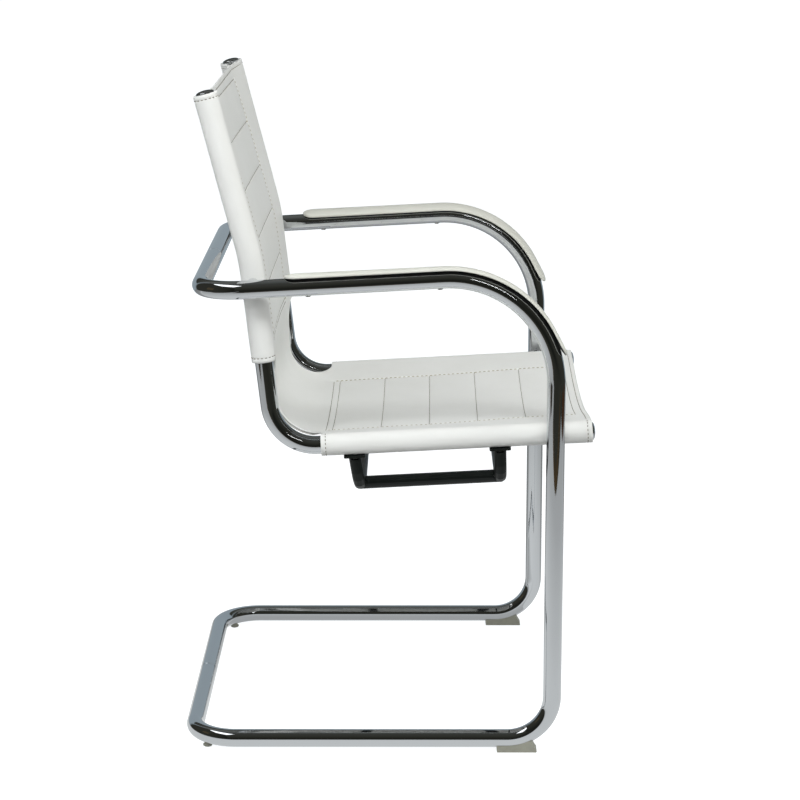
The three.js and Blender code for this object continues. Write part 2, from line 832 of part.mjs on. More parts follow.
// Button-headed bolt from the inner flank of a sleeve out into the frame's insert
function jointBolt(side, place, sleeveOuter) {
  const outward = across.clone().multiplyScalar(side);
  const shank = jointBoltDiameter / 2;
  const head = jointBoltHeadDiameter / 2;
  const socket = jointSocketAcross / 2;
  const seat = -sleeveOuter - clearance;
  const gap = railSpread - sideSpread;
  const tip = gap - tubeRadius + insertLength - overrun;
  const profile = [
    [0, seat - jointBoltHeadHeight + jointSocketDepth],
    [socket, seat - jointBoltHeadHeight + jointSocketDepth],
    [socket, seat - jointBoltHeadHeight],
    [head * buttonTopShare, seat - jointBoltHeadHeight],
    [head, seat - jointBoltHeadHeight * buttonEdgeShare],
    [head, seat],
    [shank, seat],
    [shank, tip - shank / 2],
    [shank / 2, tip],
    [0, tip],
  ];
  return aim(turned(profile), place.clone().setX(side * sideSpread), outward);
}

// Threaded insert crimped into the frame tube's inner wall
function jointInsert(side, place) {
  const outward = across.clone().multiplyScalar(side);
  const bore = roundHole(jointBoltDiameter / 2);
  const body = insertDiameter / 2;
  const collar = insertCollarDiameter / 2;
  const front = -tubeRadius;
  const bored = Math.sqrt(boreRadius ** 2 - collar ** 2) * Math.cos(Math.PI / boreSides);
  const collarStart = clearance - bored;
  const back = front + insertLength;
  const profile = [
    [bore, front],
    [body, front],
    [body, collarStart],
    [collar, collarStart],
    [collar, collarStart + insertCollarLength],
    [body, collarStart + insertCollarLength],
    [body, back],
    [bore, back],
    [bore, front],
  ];
  return aim(turned(profile), place, outward);
}

// Brace under the seat: two crossbars with their ends turned up, two ties and four flanges
function braceCorners(position) {
  const legs = Object.values(sides).map((side) => {
    const station = braceStations(side)[position];
    const lean = radians(position === 'front' ? braceFrontLean : braceRearLean);
    const down = station.out.clone().negate().applyAxisAngle(across, -lean);
    const drop = seatSleeveOuter + clearance + flangeThickness;
    const top = station.point.clone().addScaledVector(station.out, -drop);
    const reach = (braceDrop - drop) / Math.cos(lean);
    return { top, bottom: top.clone().addScaledVector(down, reach), down };
  });
  return legs;
}

function braceBar(position) {
  const [right, left] = braceCorners(position);
  const raise = (leg) => leg.top.clone().addScaledVector(leg.down, -overrun);
  const corners = [raise(right), right.bottom, left.bottom, raise(left)];
  const line = new BentLine(corners, [braceBendRadius, braceBendRadius], across);
  const blank = sweep(ringShape(braceRadius, braceBore), line);
  const tools = Object.values(sides).flatMap((side) => {
    const station = braceStations(side)[position];
    const leg = side === sides.right ? right : left;
    const trim = new THREE.BoxGeometry(flangeWidth * 2, flangeLength * 2, flangeThickness + overrun);
    const flangeUnderside = seatSleeveOuter + clearance + flangeThickness;
    const trimHeight = flangeUnderside + clearance - (flangeThickness + overrun) / 2;
    const trimPlace = station.point.clone().addScaledVector(station.out, -trimHeight);
    const slot = new THREE.BoxGeometry(braceDiameter, braceSlotWidth, braceSlotHeight);
    slot.translate(side * braceRadius, 0, 0);
    const slotPlace = leg.top.clone().addScaledVector(leg.down, braceSlotDrop);
    return [aim(trim, trimPlace, station.out), aim(slot, slotPlace, station.out)];
  });
  return cut(blank, tools);
}

// Tie between the two crossbars, coped round them
function braceTie(side) {
  const frontRun = braceCorners('front')[0].bottom;
  const rearRun = braceCorners('rear')[0].bottom;
  const spread = side * tieSpread;
  const ends = [rearRun, frontRun].map((corner) => corner.clone().setX(spread));
  const line = new BentLine(ends, [], across);
  const blank = sweep(ringShape(tieDiameter / 2, tieDiameter / 2 - braceWall), line);
  const cope = (position) => {
    const [right, left] = braceCorners(position);
    const run = new BentLine([right.top, right.bottom, left.bottom, left.top],
      [braceBendRadius, braceBendRadius], across);
    return sweep(ringShape(braceRadius + clearance, 0), run);
  };
  return cut(blank, [cope('front'), cope('rear')]);
}

function braceFlange(side, position) {
  const station = braceStations(side)[position];
  const half = { x: flangeWidth / 2, y: flangeLength / 2 };
  const plate = new THREE.Shape();
  plate.moveTo(-half.x + flangeRound, -half.y);
  plate.lineTo(half.x - flangeRound, -half.y);
  plate.absarc(half.x - flangeRound, -half.y + flangeRound, flangeRound, -Math.PI / 2, 0);
  plate.lineTo(half.x, half.y - flangeRound);
  plate.absarc(half.x - flangeRound, half.y - flangeRound, flangeRound, 0, Math.PI / 2);
  plate.lineTo(-half.x + flangeRound, half.y);
  plate.absarc(-half.x + flangeRound, half.y - flangeRound, flangeRound, Math.PI / 2, Math.PI);
  plate.lineTo(-half.x, -half.y + flangeRound);
  plate.absarc(-half.x + flangeRound, -half.y + flangeRound, flangeRound, Math.PI, 1.5 * Math.PI);
  plate.holes.push(new THREE.Path(polygonPath(roundHole(braceBoltDiameter / 2), boltSides)));
  const geometry = new THREE.ExtrudeGeometry(plate, {
    depth: flangeThickness,
    bevelEnabled: false,
    curveSegments: cornerSegments,
  });
  geometry.translate(0, 0, -seatSleeveOuter - clearance - flangeThickness);
  return aim(geometry, station.point, station.out);
}

// Bolt up through the flange and the sleeve into the side tube, its head inside the leg
function braceBolt(side, position) {
  const station = braceStations(side)[position];
  const shank = braceBoltDiameter / 2;
  const head = braceBoltHeadDiameter / 2;
  const seat = -seatSleeveOuter - flangeThickness - 2 * clearance;
  const tip = -boreRadius + braceBoltReach;
  const profile = [
    [0, seat - braceBoltHeadHeight],
    [head, seat - braceBoltHeadHeight],
    [head, seat],
    [shank, seat],
    [shank, tip],
    [0, tip],
  ];
  return aim(turned(profile, hexSides), station.point, station.out);
}

// Wedge under the front bend: a side outline extruded across, saddled to the tube, with a peg
function wedgeGlide(side) {
  const outline = new THREE.Shape();
  outline.moveTo(wedgeRearReach - wedgeRound, 0);
  outline.quadraticCurveTo(wedgeRearReach, 0, wedgeRearReach, wedgeRound);
  outline.lineTo(wedgeRearReach, railHeight);
  outline.lineTo(wedgeTopReach, railHeight);
  outline.lineTo(wedgeFrontReach, wedgeNoseHeight);
  outline.lineTo(wedgeFrontReach, wedgeRound);
  outline.quadraticCurveTo(wedgeFrontReach, 0, wedgeFrontReach + wedgeRound, 0);
  const block = new THREE.ExtrudeGeometry(outline, {
    depth: wedgeWidth,
    bevelEnabled: false,
    curveSegments: cornerSegments,
  });
  const toChair = new THREE.Matrix4().makeBasis(
    new THREE.Vector3(0, 1, 0), new THREE.Vector3(0, 0, 1), new THREE.Vector3(1, 0, 0));
  block.applyMatrix4(toChair).translate(side * railSpread - wedgeWidth / 2, 0, 0);
  const tube = sweep(ringShape(tubeRadius + clearance, 0, 2 * tubeSides), frameLine(side));
  const seated = cut(block, [tube]);
  const pegTop = floorClearance + tubeWall + glidePegReach / 2;
  const peg = rod(glidePegDiameter / 2, wedgePegPlace(side), up, glideRound, pegTop);
  return join([seated, peg]);
}

// Round button under the rear corner bend: a foot, a neck and a peg into the tube
function rearGlide(side) {
  const foot = glideDiameter / 2;
  const neck = glideNeckDiameter / 2;
  const peg = glidePegDiameter / 2;
  const neckTop = railHeight;
  const profile = [
    [0, 0],
    [foot - glideRound, 0],
    [foot, glideRound],
    [foot, glideFootHeight],
    [neck, glideFootHeight + glideRound],
    [neck, neckTop],
    [0, neckTop],
  ];
  const place = glidePlace(side);
  const blank = aim(turned(profile, tubeSides), place, up);
  const tube = sweep(ringShape(tubeRadius + clearance, 0, 2 * tubeSides), frameLine(side));
  const seated = cut(blank, [tube]);
  const pegTop = floorClearance + tubeWall + glidePegReach / 2;
  return join([seated, rod(peg, place, up, glideRound, pegTop)]);
}

const chair = new THREE.Group();

function add(name, geometry, material) {
  const mesh = new THREE.Mesh(geometry, material);
  mesh.name = name;
  chair.add(mesh);
}

add('lower_splice', lowerSplice(), materials.zinc);
add('upper_splice', upperSplice(), materials.zinc);
add('sling_panel', slingPanel(), materials.leather);

for (const position of ['front', 'rear']) {
  add(`brace_bar_${position}`, braceBar(position), materials.blackPaint);
}

for (const [name, side] of Object.entries(sides)) {
  add(`frame_half_${name}`, frameHalf(side), materials.chrome);
  add(`side_tube_${name}`, sideTube(side), materials.chrome);
  add(`back_cap_${name}`, endCap(side, true), materials.chrome);
  add(`seat_cap_${name}`, endCap(side, false), materials.chrome);
  add(`back_sleeve_${name}`, backSleeve(side), materials.leather);
  add(`seat_sleeve_${name}`, seatSleeve(side), materials.leather);
  add(`arm_pad_${name}`, armPad(side), materials.leather);
  add(`arm_pad_core_${name}`, padCore(side), materials.core);
  add(`arm_pad_screw_front_${name}`, padScrew(side, 0), materials.brass);
  add(`arm_pad_screw_rear_${name}`, padScrew(side, 1), materials.brass);

  const seatLine = sideLine(side * sideSpread);
  const forward = seatLine.at(seatLine.length).direction;
  const backward = armCrossing().direction;
  const armForward = new THREE.Vector3(0, -Math.cos(radians(armSlope)), Math.sin(radians(armSlope)));
  const legSpacer = jointSpacer(side, legJoint(side), seatSleeveOuter, forward, up);
  const armSpacer = jointSpacer(side, armJoint(side), backSleeveOuter, backward, armForward);
  add(`leg_spacer_${name}`, legSpacer, materials.chrome);
  add(`arm_spacer_${name}`, armSpacer, materials.chrome);
  add(`leg_bolt_${name}`, jointBolt(side, legJoint(side), seatSleeveOuter), materials.zinc);
  add(`arm_bolt_${name}`, jointBolt(side, armJoint(side), backSleeveOuter), materials.zinc);
  add(`leg_insert_${name}`, jointInsert(side, legJoint(side)), materials.brass);
  add(`arm_insert_${name}`, jointInsert(side, armJoint(side)), materials.brass);

  add(`brace_tie_${name}`, braceTie(side), materials.blackPaint);
  for (const position of ['front', 'rear']) {
    add(`brace_flange_${position}_${name}`, braceFlange(side, position), materials.blackPaint);
    add(`brace_bolt_${position}_${name}`, braceBolt(side, position), materials.zinc);
  }

  add(`front_glide_${name}`, wedgeGlide(side), materials.glide);
  add(`rear_glide_${name}`, rearGlide(side), materials.glide);
}

// Centre the chair over the origin; the glides already stand on Z = 0
const box = new THREE.Box3().setFromObject(chair);
chair.position.y = -(box.min.y + box.max.y) / 2;
chair.updateMatrixWorld(true);

export default chair;
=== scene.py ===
"""Looks of the sled base visitor chair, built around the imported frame.

Lengths in this script are millimetres in the part's own drawing, where the front legs' axis is
Y = 0; to_metres() brings points into the row frame.
"""

import functools
import json
import math

import bpy
import numpy as np
from mathutils import Matrix, Quaternion, Vector, noise


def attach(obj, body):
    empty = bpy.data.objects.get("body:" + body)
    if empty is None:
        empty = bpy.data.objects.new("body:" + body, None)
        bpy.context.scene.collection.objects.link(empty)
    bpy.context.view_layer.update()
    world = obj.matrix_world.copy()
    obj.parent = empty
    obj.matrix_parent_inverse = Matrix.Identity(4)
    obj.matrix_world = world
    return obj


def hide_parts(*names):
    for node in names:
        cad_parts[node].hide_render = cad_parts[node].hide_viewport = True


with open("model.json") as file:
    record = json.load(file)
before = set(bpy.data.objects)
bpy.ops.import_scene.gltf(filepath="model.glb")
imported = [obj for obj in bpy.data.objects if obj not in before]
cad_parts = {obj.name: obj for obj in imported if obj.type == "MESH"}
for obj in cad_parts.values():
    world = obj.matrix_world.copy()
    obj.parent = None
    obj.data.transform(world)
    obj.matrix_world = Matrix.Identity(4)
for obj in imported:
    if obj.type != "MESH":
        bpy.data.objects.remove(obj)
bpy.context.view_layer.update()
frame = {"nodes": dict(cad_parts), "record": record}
NODES = frame["nodes"]
SIDES = {"right": -1, "left": 1}

# Where the drawing's origin lies in the row frame
DRAWING_SHIFT_Y = -228.651

# Sizes shared with the part
TUBE_RADIUS = 12.5
BORE_RADIUS = 10.5
RAIL_SPREAD = 267.5
RAIL_HEIGHT = 17.7
RAIL_LENGTH = 501.6
CORNER_BEND = 62
ARM_BEND_SHARE = 0.6236
ARM_CROWN = 676.2
ARM_SLOPE = math.radians(3.07)
CROSSBAR_REACH = 72.2
SIDE_SPREAD = 222
SEAT_REACH = 52.5
SEAT_FRONT_HEIGHT = 448
SEAT_SLOPE = math.radians(2.95)
SEAT_LENGTH = 435
LOWER_LEAN = math.radians(6.4)
LOWER_LENGTH = 263.3
UPPER_LEAN = math.radians(14.3)
UPPER_LENGTH = 229.5
LUMBAR_BEND = 330
CLEARANCE = 0.3
BACK_SLEEVE = 16.5
SEAT_SLEEVE = 15.5
SLEEVE_BACK_GAP = 63.8
SLEEVE_SEAT_GAP = 5
TOP_HEM_BOW = 2
TOP_HEM_REACH = 70
NOTCH_HALF = 170
NOTCH_SEAT_RUN = 75
NOTCH_BACK_RUN = 26
PAD_WIDTH = 32
PAD_THICKNESS = 6
PAD_TIP_THICKNESS = 4
PAD_CUP = 1.6
PAD_TILT = math.radians(9)
PAD_REAR_GAP = 44.8
PAD_BEND_SHARE = 0.7
PAD_FLAP = 38
PAD_END_ROUND = 17
PAD_BASE = 0.2
PAD_UNDER_STEPS = 16
PAD_TOP_STEPS = 28

ACROSS = Vector((1, 0, 0))
UP = Vector((0, 0, 1))


def smoothstep(value, low, high):
    share = min(1.0, max(0.0, (value - low) / (high - low)))
    return share * share * (3 - 2 * share)


def mix(a, b, share):
    return a + (b - a) * share


def to_metres(points):
    points = np.asarray(points, float).reshape(-1, 3) + (0, DRAWING_SHIFT_Y, 0)
    return points / 1000


class BentLine:
    """Straight runs joined by arcs; at() gives point, direction, side and out."""

    def __init__(self, corners, radii, side):
        self.runs = []
        self.length = 0.0
        start = corners[0].copy()
        side = side.copy()
        for index, corner in enumerate(corners[1:]):
            direction = (corner - start).normalized()
            if index + 2 >= len(corners):
                self.add(start, direction, side, (corner - start).length, None)
                break
            following = (corners[index + 2] - corner).normalized()
            turn = direction.angle(following)
            axis = direction.cross(following).normalized()
            radius = radii[index]
            setback = radius * math.tan(turn / 2)
            bend_start = corner - direction * setback
            self.add(start, direction, side, (bend_start - start).length, None)
            self.add(bend_start, direction, side, radius * turn, (axis, radius))
            start = corner + following * setback
            side = Quaternion(axis, turn) @ side

    def add(self, start, direction, side, length, arc):
        self.runs.append((self.length, length, start.copy(), direction.copy(), side.copy(), arc))
        self.length += length

    def at(self, distance):
        for begin, length, start, direction, side, arc in self.runs:
            if distance <= begin + length:
                break
        along = distance - begin
        if arc is None:
            point = start + direction * along
        else:
            axis, radius = arc
            centre = start + axis.cross(direction) * radius
            spin = Quaternion(axis, along / radius)
            point = centre + spin @ (start - centre)
            direction = spin @ direction
            side = spin @ side
        return point, direction, side, direction.cross(side)

    def stops(self, begin, end, spacing, arc_step):
        marks = {round(begin, 4), round(end, 4)}
        for run_begin, length, _, _, _, arc in self.runs:
            steps = math.ceil(length / (arc_step * arc[1] if arc else spacing))
            for step in range(steps + 1):
                mark = run_begin + length * step / steps
                if begin + 0.2 < mark < end - 0.2:
                    marks.add(round(mark, 4))
        return sorted(marks)


def side_line(spread):
    front = Vector((spread, -SEAT_REACH, SEAT_FRONT_HEIGHT))
    heel = front + Vector((0, math.cos(SEAT_SLOPE), -math.sin(SEAT_SLOPE))) * SEAT_LENGTH
    lumbar = heel + Vector((0, math.sin(LOWER_LEAN), math.cos(LOWER_LEAN))) * LOWER_LENGTH
    top = lumbar + Vector((0, math.sin(UPPER_LEAN), math.cos(UPPER_LEAN))) * UPPER_LENGTH
    return BentLine([top, lumbar, heel, front], [LUMBAR_BEND, CORNER_BEND], ACROSS)


def arm_height(reach):
    return ARM_CROWN - reach * math.tan(ARM_SLOPE)


def arm_joint():
    line = side_line(SIDE_SPREAD)
    high, low = 0.0, line.runs[-2][0]
    for _ in range(40):
        middle = (low + high) / 2
        point = line.at(middle)[0]
        if point.z > arm_height(point.y):
            high = middle
        else:
            low = middle
    return line.at(high)[0]


LEG_JOINT_HEIGHT = SEAT_FRONT_HEIGHT - SEAT_REACH * math.tan(SEAT_SLOPE)
ARM_BEND = ARM_BEND_SHARE * (ARM_CROWN - LEG_JOINT_HEIGHT)
ARM_TURN = math.radians(90) + ARM_SLOPE
ARM_JOINT = arm_joint()


def frame_line(side):
    spread = side * RAIL_SPREAD
    rear = ARM_JOINT.y + CROSSBAR_REACH
    corners = [
        Vector((side * CLEARANCE / 2, RAIL_LENGTH, RAIL_HEIGHT)),
        Vector((spread, RAIL_LENGTH, RAIL_HEIGHT)),
        Vector((spread, 0, RAIL_HEIGHT)),
        Vector((spread, 0, ARM_CROWN)),
        Vector((spread, rear, arm_height(rear))),
        Vector((side * CLEARANCE / 2, rear, arm_height(rear))),
    ]
    return BentLine(corners, [CORNER_BEND, CORNER_BEND, ARM_BEND, CORNER_BEND], UP)


def pad_line(side):
    reach = ARM_JOINT.y - PAD_REAR_GAP
    rear = Vector((side * RAIL_SPREAD, reach, arm_height(reach)))
    forward = Vector((0, -math.cos(ARM_SLOPE), math.sin(ARM_SLOPE)))
    turn = PAD_BEND_SHARE * ARM_TURN
    crown = Vector((side * RAIL_SPREAD, 0, ARM_CROWN))
    bend_start = crown - forward * (ARM_BEND * math.tan(ARM_TURN / 2))
    setback = ARM_BEND * math.tan(turn / 2)
    corner = bend_start + forward * setback
    flap = Quaternion(ACROSS, turn) @ forward
    tip = corner + flap * (setback + PAD_FLAP)
    return BentLine([rear, corner, tip], [ARM_BEND], ACROSS)


# Meshes
def make_object(name, points, faces, smooth=True):
    mesh = bpy.data.meshes.new(name)
    mesh.from_pydata([tuple(p) for p in to_metres(points)], [], faces)
    mesh.validate()
    mesh.update()
    if smooth:
        mesh.polygons.foreach_set("use_smooth", [True] * len(mesh.polygons))
    piece = bpy.data.objects.new(name, mesh)
    bpy.context.scene.collection.objects.link(piece)
    return piece


def grid_faces(rows, columns, first=0, wrap=False):
    faces = []
    last = columns if wrap else columns - 1
    for row in range(rows - 1):
        for column in range(last):
            following = (column + 1) % columns
            a = first + row * columns + column
            b = first + row * columns + following
            c = first + (row + 1) * columns + following
            d = first + (row + 1) * columns + column
            faces.append((a, b, c, d))
    return faces


def tube(name, line, begin, end, outer, inner, sides=48, spacing=25, arc_step=math.radians(3)):
    """A round tube with a true bore, rounded a little at its two ends."""
    lip = 0.4
    stops = line.stops(begin, end, spacing, arc_step)
    rings = [(stops[0], outer - lip)] + [(begin + lip, outer)]
    rings += [(stop, outer) for stop in stops[1:-1]] + [(end - lip, outer), (end, outer - lip)]
    rings += [(end, inner)] + [(stop, inner) for stop in reversed(stops[1:-1])] + [(begin, inner)]
    points = []
    for distance, radius in rings:
        point, _, side, out = line.at(distance)
        for index in range(sides):
            angle = 2 * math.pi * index / sides
            points.append(point + (side * math.cos(angle) + out * math.sin(angle)) * radius)
    faces = grid_faces(len(rings), sides, wrap=True)
    last = (len(rings) - 1) * sides
    for index in range(sides):
        following = (index + 1) % sides
        faces.append((last + index, last + following, following, index))
    piece = make_object(name, points, faces)
    piece.data.set_sharp_from_angle(angle=math.radians(30))
    return piece


def lathe(name, profile, place, direction, sides=48):
    turn = UP.rotation_difference(direction)
    points = []
    for radius, height in profile:
        for index in range(sides):
            angle = 2 * math.pi * index / sides
            local = Vector((radius * math.cos(angle), radius * math.sin(angle), height))
            points.append(place + turn @ local)
    faces = grid_faces(len(profile), sides, wrap=True)
    piece = make_object(name, points, faces)
    piece.data.set_sharp_from_angle(angle=math.radians(35))
    return piece


# The sling
LINE = side_line(0)
LENGTH = LINE.length
HEEL_BEGIN = LINE.runs[-2][0]
BACK_END = HEEL_BEGIN - SLEEVE_BACK_GAP
SEAT_START = HEEL_BEGIN + LINE.runs[-2][1] + SLEEVE_SEAT_GAP
LEATHER = 2.0
SEAM_HALF = 150
FLAP_END = 141
NOTCH_JOIN = 208
HEM_STITCH = 6.5
SLEEVE_ROWS = (HEM_STITCH, BACK_END - HEM_STITCH, SEAT_START + HEM_STITCH, LENGTH - HEM_STITCH)
BACK_SEAMS = [18.5, 83.7, 151, 218, 285, BACK_END - 15.5, BACK_END - 8.8]
SEAT_SEAMS = [SEAT_START + 4.2, SEAT_START + 13.6, 615, 682.7, 751, 818.6, LENGTH - 17]
SEAM_GROOVE = 0.8
HEM_GROOVE = 0.6
SLEEVE_GROOVE = 0.5
SEAM_REACH = 1.4
PUFF = 1.4
# The puff is full between seams this far apart or farther
PUFF_SPAN = 60
KINK = 7
# From here out the face's columns follow the notch's edge
FLANK_START = 160
# From here out the face passes into the sleeve
SLEEVE_BLEND = 190
BACK_SKEW = 2.3
SEAT_SKEW = 0.95


# The face's height over the tubes' middle at the long seams, and how far the panel between
# the seams hangs below that, each at distances along the line
SEAM_HEIGHTS = [
    (0, 4.2), (86, 7.3), (154, 9), (220, 10.2), (300, 11.8), (BACK_END, 10.5), (402, 6.2),
    (HEEL_BEGIN, 2.6), (490, 0.9), (615, 2.1), (682, 2.7), (750, 4.2), (819, 6.4), (LENGTH, 7),
]
PANEL_DIPS = [
    (0, 0.8), (300, 1), (BACK_END, 3), (HEEL_BEGIN, 8), (537, 7), (682, 9), (819, 12),
    (LENGTH, 14.5),
]


def through_marks(distance, marks):
    """A smooth curve through marks of (distance, value)."""
    last = len(marks) - 1
    index = min(last - 1, max(0, sum(mark[0] <= distance for mark in marks) - 1))
    slopes = []
    for place in (index, index + 1):
        before, after = marks[max(0, place - 1)], marks[min(last, place + 1)]
        slopes.append((after[1] - before[1]) / (after[0] - before[0]))
    (begin, low), (end, high) = marks[index], marks[index + 1]
    reach = end - begin
    t = min(1.0, max(0.0, (distance - begin) / reach))
    return ((2 * t ** 3 - 3 * t ** 2 + 1) * low + (t ** 3 - 2 * t ** 2 + t) * reach * slopes[0]
            + (3 * t ** 2 - 2 * t ** 3) * high + (t ** 3 - t ** 2) * reach * slopes[1])


@functools.lru_cache(maxsize=None)
def section(distance):
    """Seam height, dip and the two slopes beside the seam, of the panel and of the flank that
    runs straight on to the sleeve round the tube."""
    height = through_marks(distance, SEAM_HEIGHTS)
    dip = through_marks(distance, PANEL_DIPS)
    span = SIDE_SPREAD - SEAM_HALF
    lean = math.asin(sleeve_radius(distance) / math.hypot(span, height)) - math.atan2(height, span)
    return height, dip, 2 * dip / SEAM_HALF, math.tan(lean)


def sleeve_radius(distance):
    return mix(BACK_SLEEVE, SEAT_SLEEVE, smoothstep(distance, BACK_END, SEAT_START))


def face_height(x, distance):
    height, dip, panel_slope, flank_slope = section(distance)
    past = abs(x) - SEAM_HALF
    height += panel_slope * past if past > 0 else -dip * (1 - (x / SEAM_HALF) ** 2)
    return height + (flank_slope - panel_slope) * (math.hypot(past, KINK) + past) / 2


def notch_half(distance):
    back = min(1.0, max(0.0, 1 - (distance - BACK_END) / NOTCH_BACK_RUN))
    seat = min(1.0, max(0.0, 1 - (SEAT_START - distance) / NOTCH_SEAT_RUN))
    share = max(back, seat)
    return mix(NOTCH_HALF, NOTCH_JOIN, 1 - math.sqrt(1 - share * share))


def hem_bow(x, distance):
    """How far a point of the panel is drawn in from the top hem, along the line."""
    share = 1 - min(1.0, abs(x) / SIDE_SPREAD) ** 2
    return TOP_HEM_BOW * share * (1 - smoothstep(distance, 0, TOP_HEM_REACH))


def along_seams(x, distance):
    """Distance counted in line with the cross seams, which run a little askew."""
    back = smoothstep(distance, 0, 30) * (1 - smoothstep(distance, BACK_END - 8, BACK_END))
    seat = smoothstep(distance, SEAT_START, SEAT_START + 4)
    seat *= 1 - smoothstep(distance, LENGTH - 30, LENGTH)
    skew = BACK_SKEW * back + SEAT_SKEW * seat
    return distance - skew * min(1.0, max(-1.0, x / SEAM_HALF))


def cross_seams(distance):
    """The rows of cross seams of the stretch a point is on."""
    return BACK_SEAMS if distance < (BACK_END + SEAT_START) / 2 else SEAT_SEAMS


def relief(x, distance, in_notch):
    """Stitched grooves, soft puffing between them and slight unevenness of the leather."""
    seams = cross_seams(distance)
    rise = 0.0
    width = abs(x)
    inside = width < SEAM_HALF + 1
    hem_distance = distance
    distance = along_seams(x, distance)
    if inside:
        nearest = min(abs(distance - seam) for seam in seams)
        rise -= SEAM_GROOVE * math.exp(-((nearest / SEAM_REACH) ** 2))
    if seams[0] - 2 < distance < seams[-1] + 2:
        rise -= SEAM_GROOVE * math.exp(-(((width - SEAM_HALF) / SEAM_REACH) ** 2))
    for hem in (HEM_STITCH, LENGTH - HEM_STITCH):
        rise -= HEM_GROOVE * math.exp(-(((hem_distance - hem) / SEAM_REACH) ** 2))
    if inside and seams[0] < distance < seams[-1]:
        below = max(seam for seam in seams if seam <= distance)
        above = min(seam for seam in seams if seam > distance)
        share = (distance - below) / (above - below)
        across = max(0.0, 1 - (width / SEAM_HALF) ** 6)
        full = min(1.0, (above - below) / PUFF_SPAN)
        rise += full * PUFF * math.sin(math.pi * share) ** 0.7 * across
    if in_notch:
        rise += 0.5 * math.exp(-(((width - notch_half(distance)) / 5) ** 2))
    rise += 0.35 * noise.noise(Vector((x / 38, distance / 52, 0.3)))
    rise += 0.15 * noise.noise(Vector((x / 13, distance / 17, 4.1)))
    return rise


def flap_path(distance):
    """The leather from its turned-in end, round the side tube, to where it meets the face:
    (across, height) pairs of its middle surface for the side at +X."""
    radius = sleeve_radius(distance) - LEATHER / 2
    _, _, slope, flank_slope = section(distance)
    start = Vector((FLAP_END, face_height(FLAP_END, distance) - 1.5 * LEATHER - 0.1))
    seam = Vector((SEAM_HALF + 4, face_height(SEAM_HALF + 4, distance) - 1.5 * LEATHER - 0.1))
    centre = Vector((SIDE_SPREAD, 0))
    away = centre - seam
    lean = math.atan2(away.y, away.x) - math.asin(radius / away.length)
    run = math.sqrt(away.length ** 2 - radius ** 2)
    heading = Vector((math.cos(lean), math.sin(lean)))
    tangent = seam + heading * run
    forward = Vector((1, slope)).normalized()
    control = [seam, seam + forward * run * 0.3, tangent - heading * run * 0.35, tangent]
    path = [start, (start + seam) / 2]
    for step in range(13):
        t = step / 12
        weights = ((1 - t) ** 3, 3 * t * (1 - t) ** 2, 3 * t * t * (1 - t), t ** 3)
        path.append(sum((c * w for c, w in zip(control, weights)), Vector((0, 0))))
    contact = math.atan(flank_slope)
    begin = math.atan2(tangent.y, tangent.x - SIDE_SPREAD)
    finish = math.pi / 2 + contact
    for step in range(1, 27):
        angle = mix(begin, finish, step / 26)
        path.append(centre + Vector((math.cos(angle), math.sin(angle))) * radius)
    return path


def face_columns():
    """Distances across of the face's columns on one side, from the sleeve to the middle."""
    fine = [SEAM_HALF + step for step in (-5, -3, -1.8, -0.9, 0, 0.9, 1.8, 3, 5)]
    outer = [NOTCH_JOIN + 5, NOTCH_JOIN, 202, 195, 188, 181, 174, 167, FLANK_START]
    inner = [139, 132, 124, 115, 106, 97, 88, 79, 70, 61, 52, 43, 34, 25, 17, 8]
    return outer + fine[::-1] + inner


def sling_rows():
    marks = set(np.arange(0, LENGTH, 5.0).tolist()) | {LENGTH, BACK_END, SEAT_START}
    lines = BACK_SEAMS + SEAT_SEAMS + list(SLEEVE_ROWS)
    for seam in lines:
        marks |= {seam + step for step in (-3.2, -2, -1, 0, 1, 2, 3.2)}
    marks |= {BACK_END + step for step in (1, 2.5, 4.5, 7, 10, 13, 17, 21)}
    marks |= {SEAT_START - step for step in (0.8, 2, 3.6, 6, 9, 13, 17, 22)}
    kept = []
    fixed = {0.0, BACK_END, SEAT_START, LENGTH}
    for mark in sorted(m for m in marks if 0 <= m <= LENGTH):
        if kept and mark - kept[-1] < 0.7:
            if mark in fixed:
                kept[-1] = mark
            continue
        kept.append(mark)
    return kept


def sling_point(distance, x, height):
    point, direction, side, out = LINE.at(distance)
    point = point + direction * hem_bow(x, distance)
    return point + side * x + out * height


def in_line(x, row):
    """Distance of a place of a grid row, whose rows run in line with the cross seams."""
    return min(LENGTH, max(0.0, 2 * row - along_seams(x, row)))


def sleeve_relief(distance, position):
    """Unevenness of the sleeves: hem grooves and a light hand-made waviness."""
    rise = 0.25 * noise.noise(Vector((position / 21, distance / 34, 9.0)))
    nearest = min(abs(distance - row) for row in SLEEVE_ROWS)
    return rise - SLEEVE_GROOVE * math.exp(-((nearest / SEAM_REACH) ** 2))


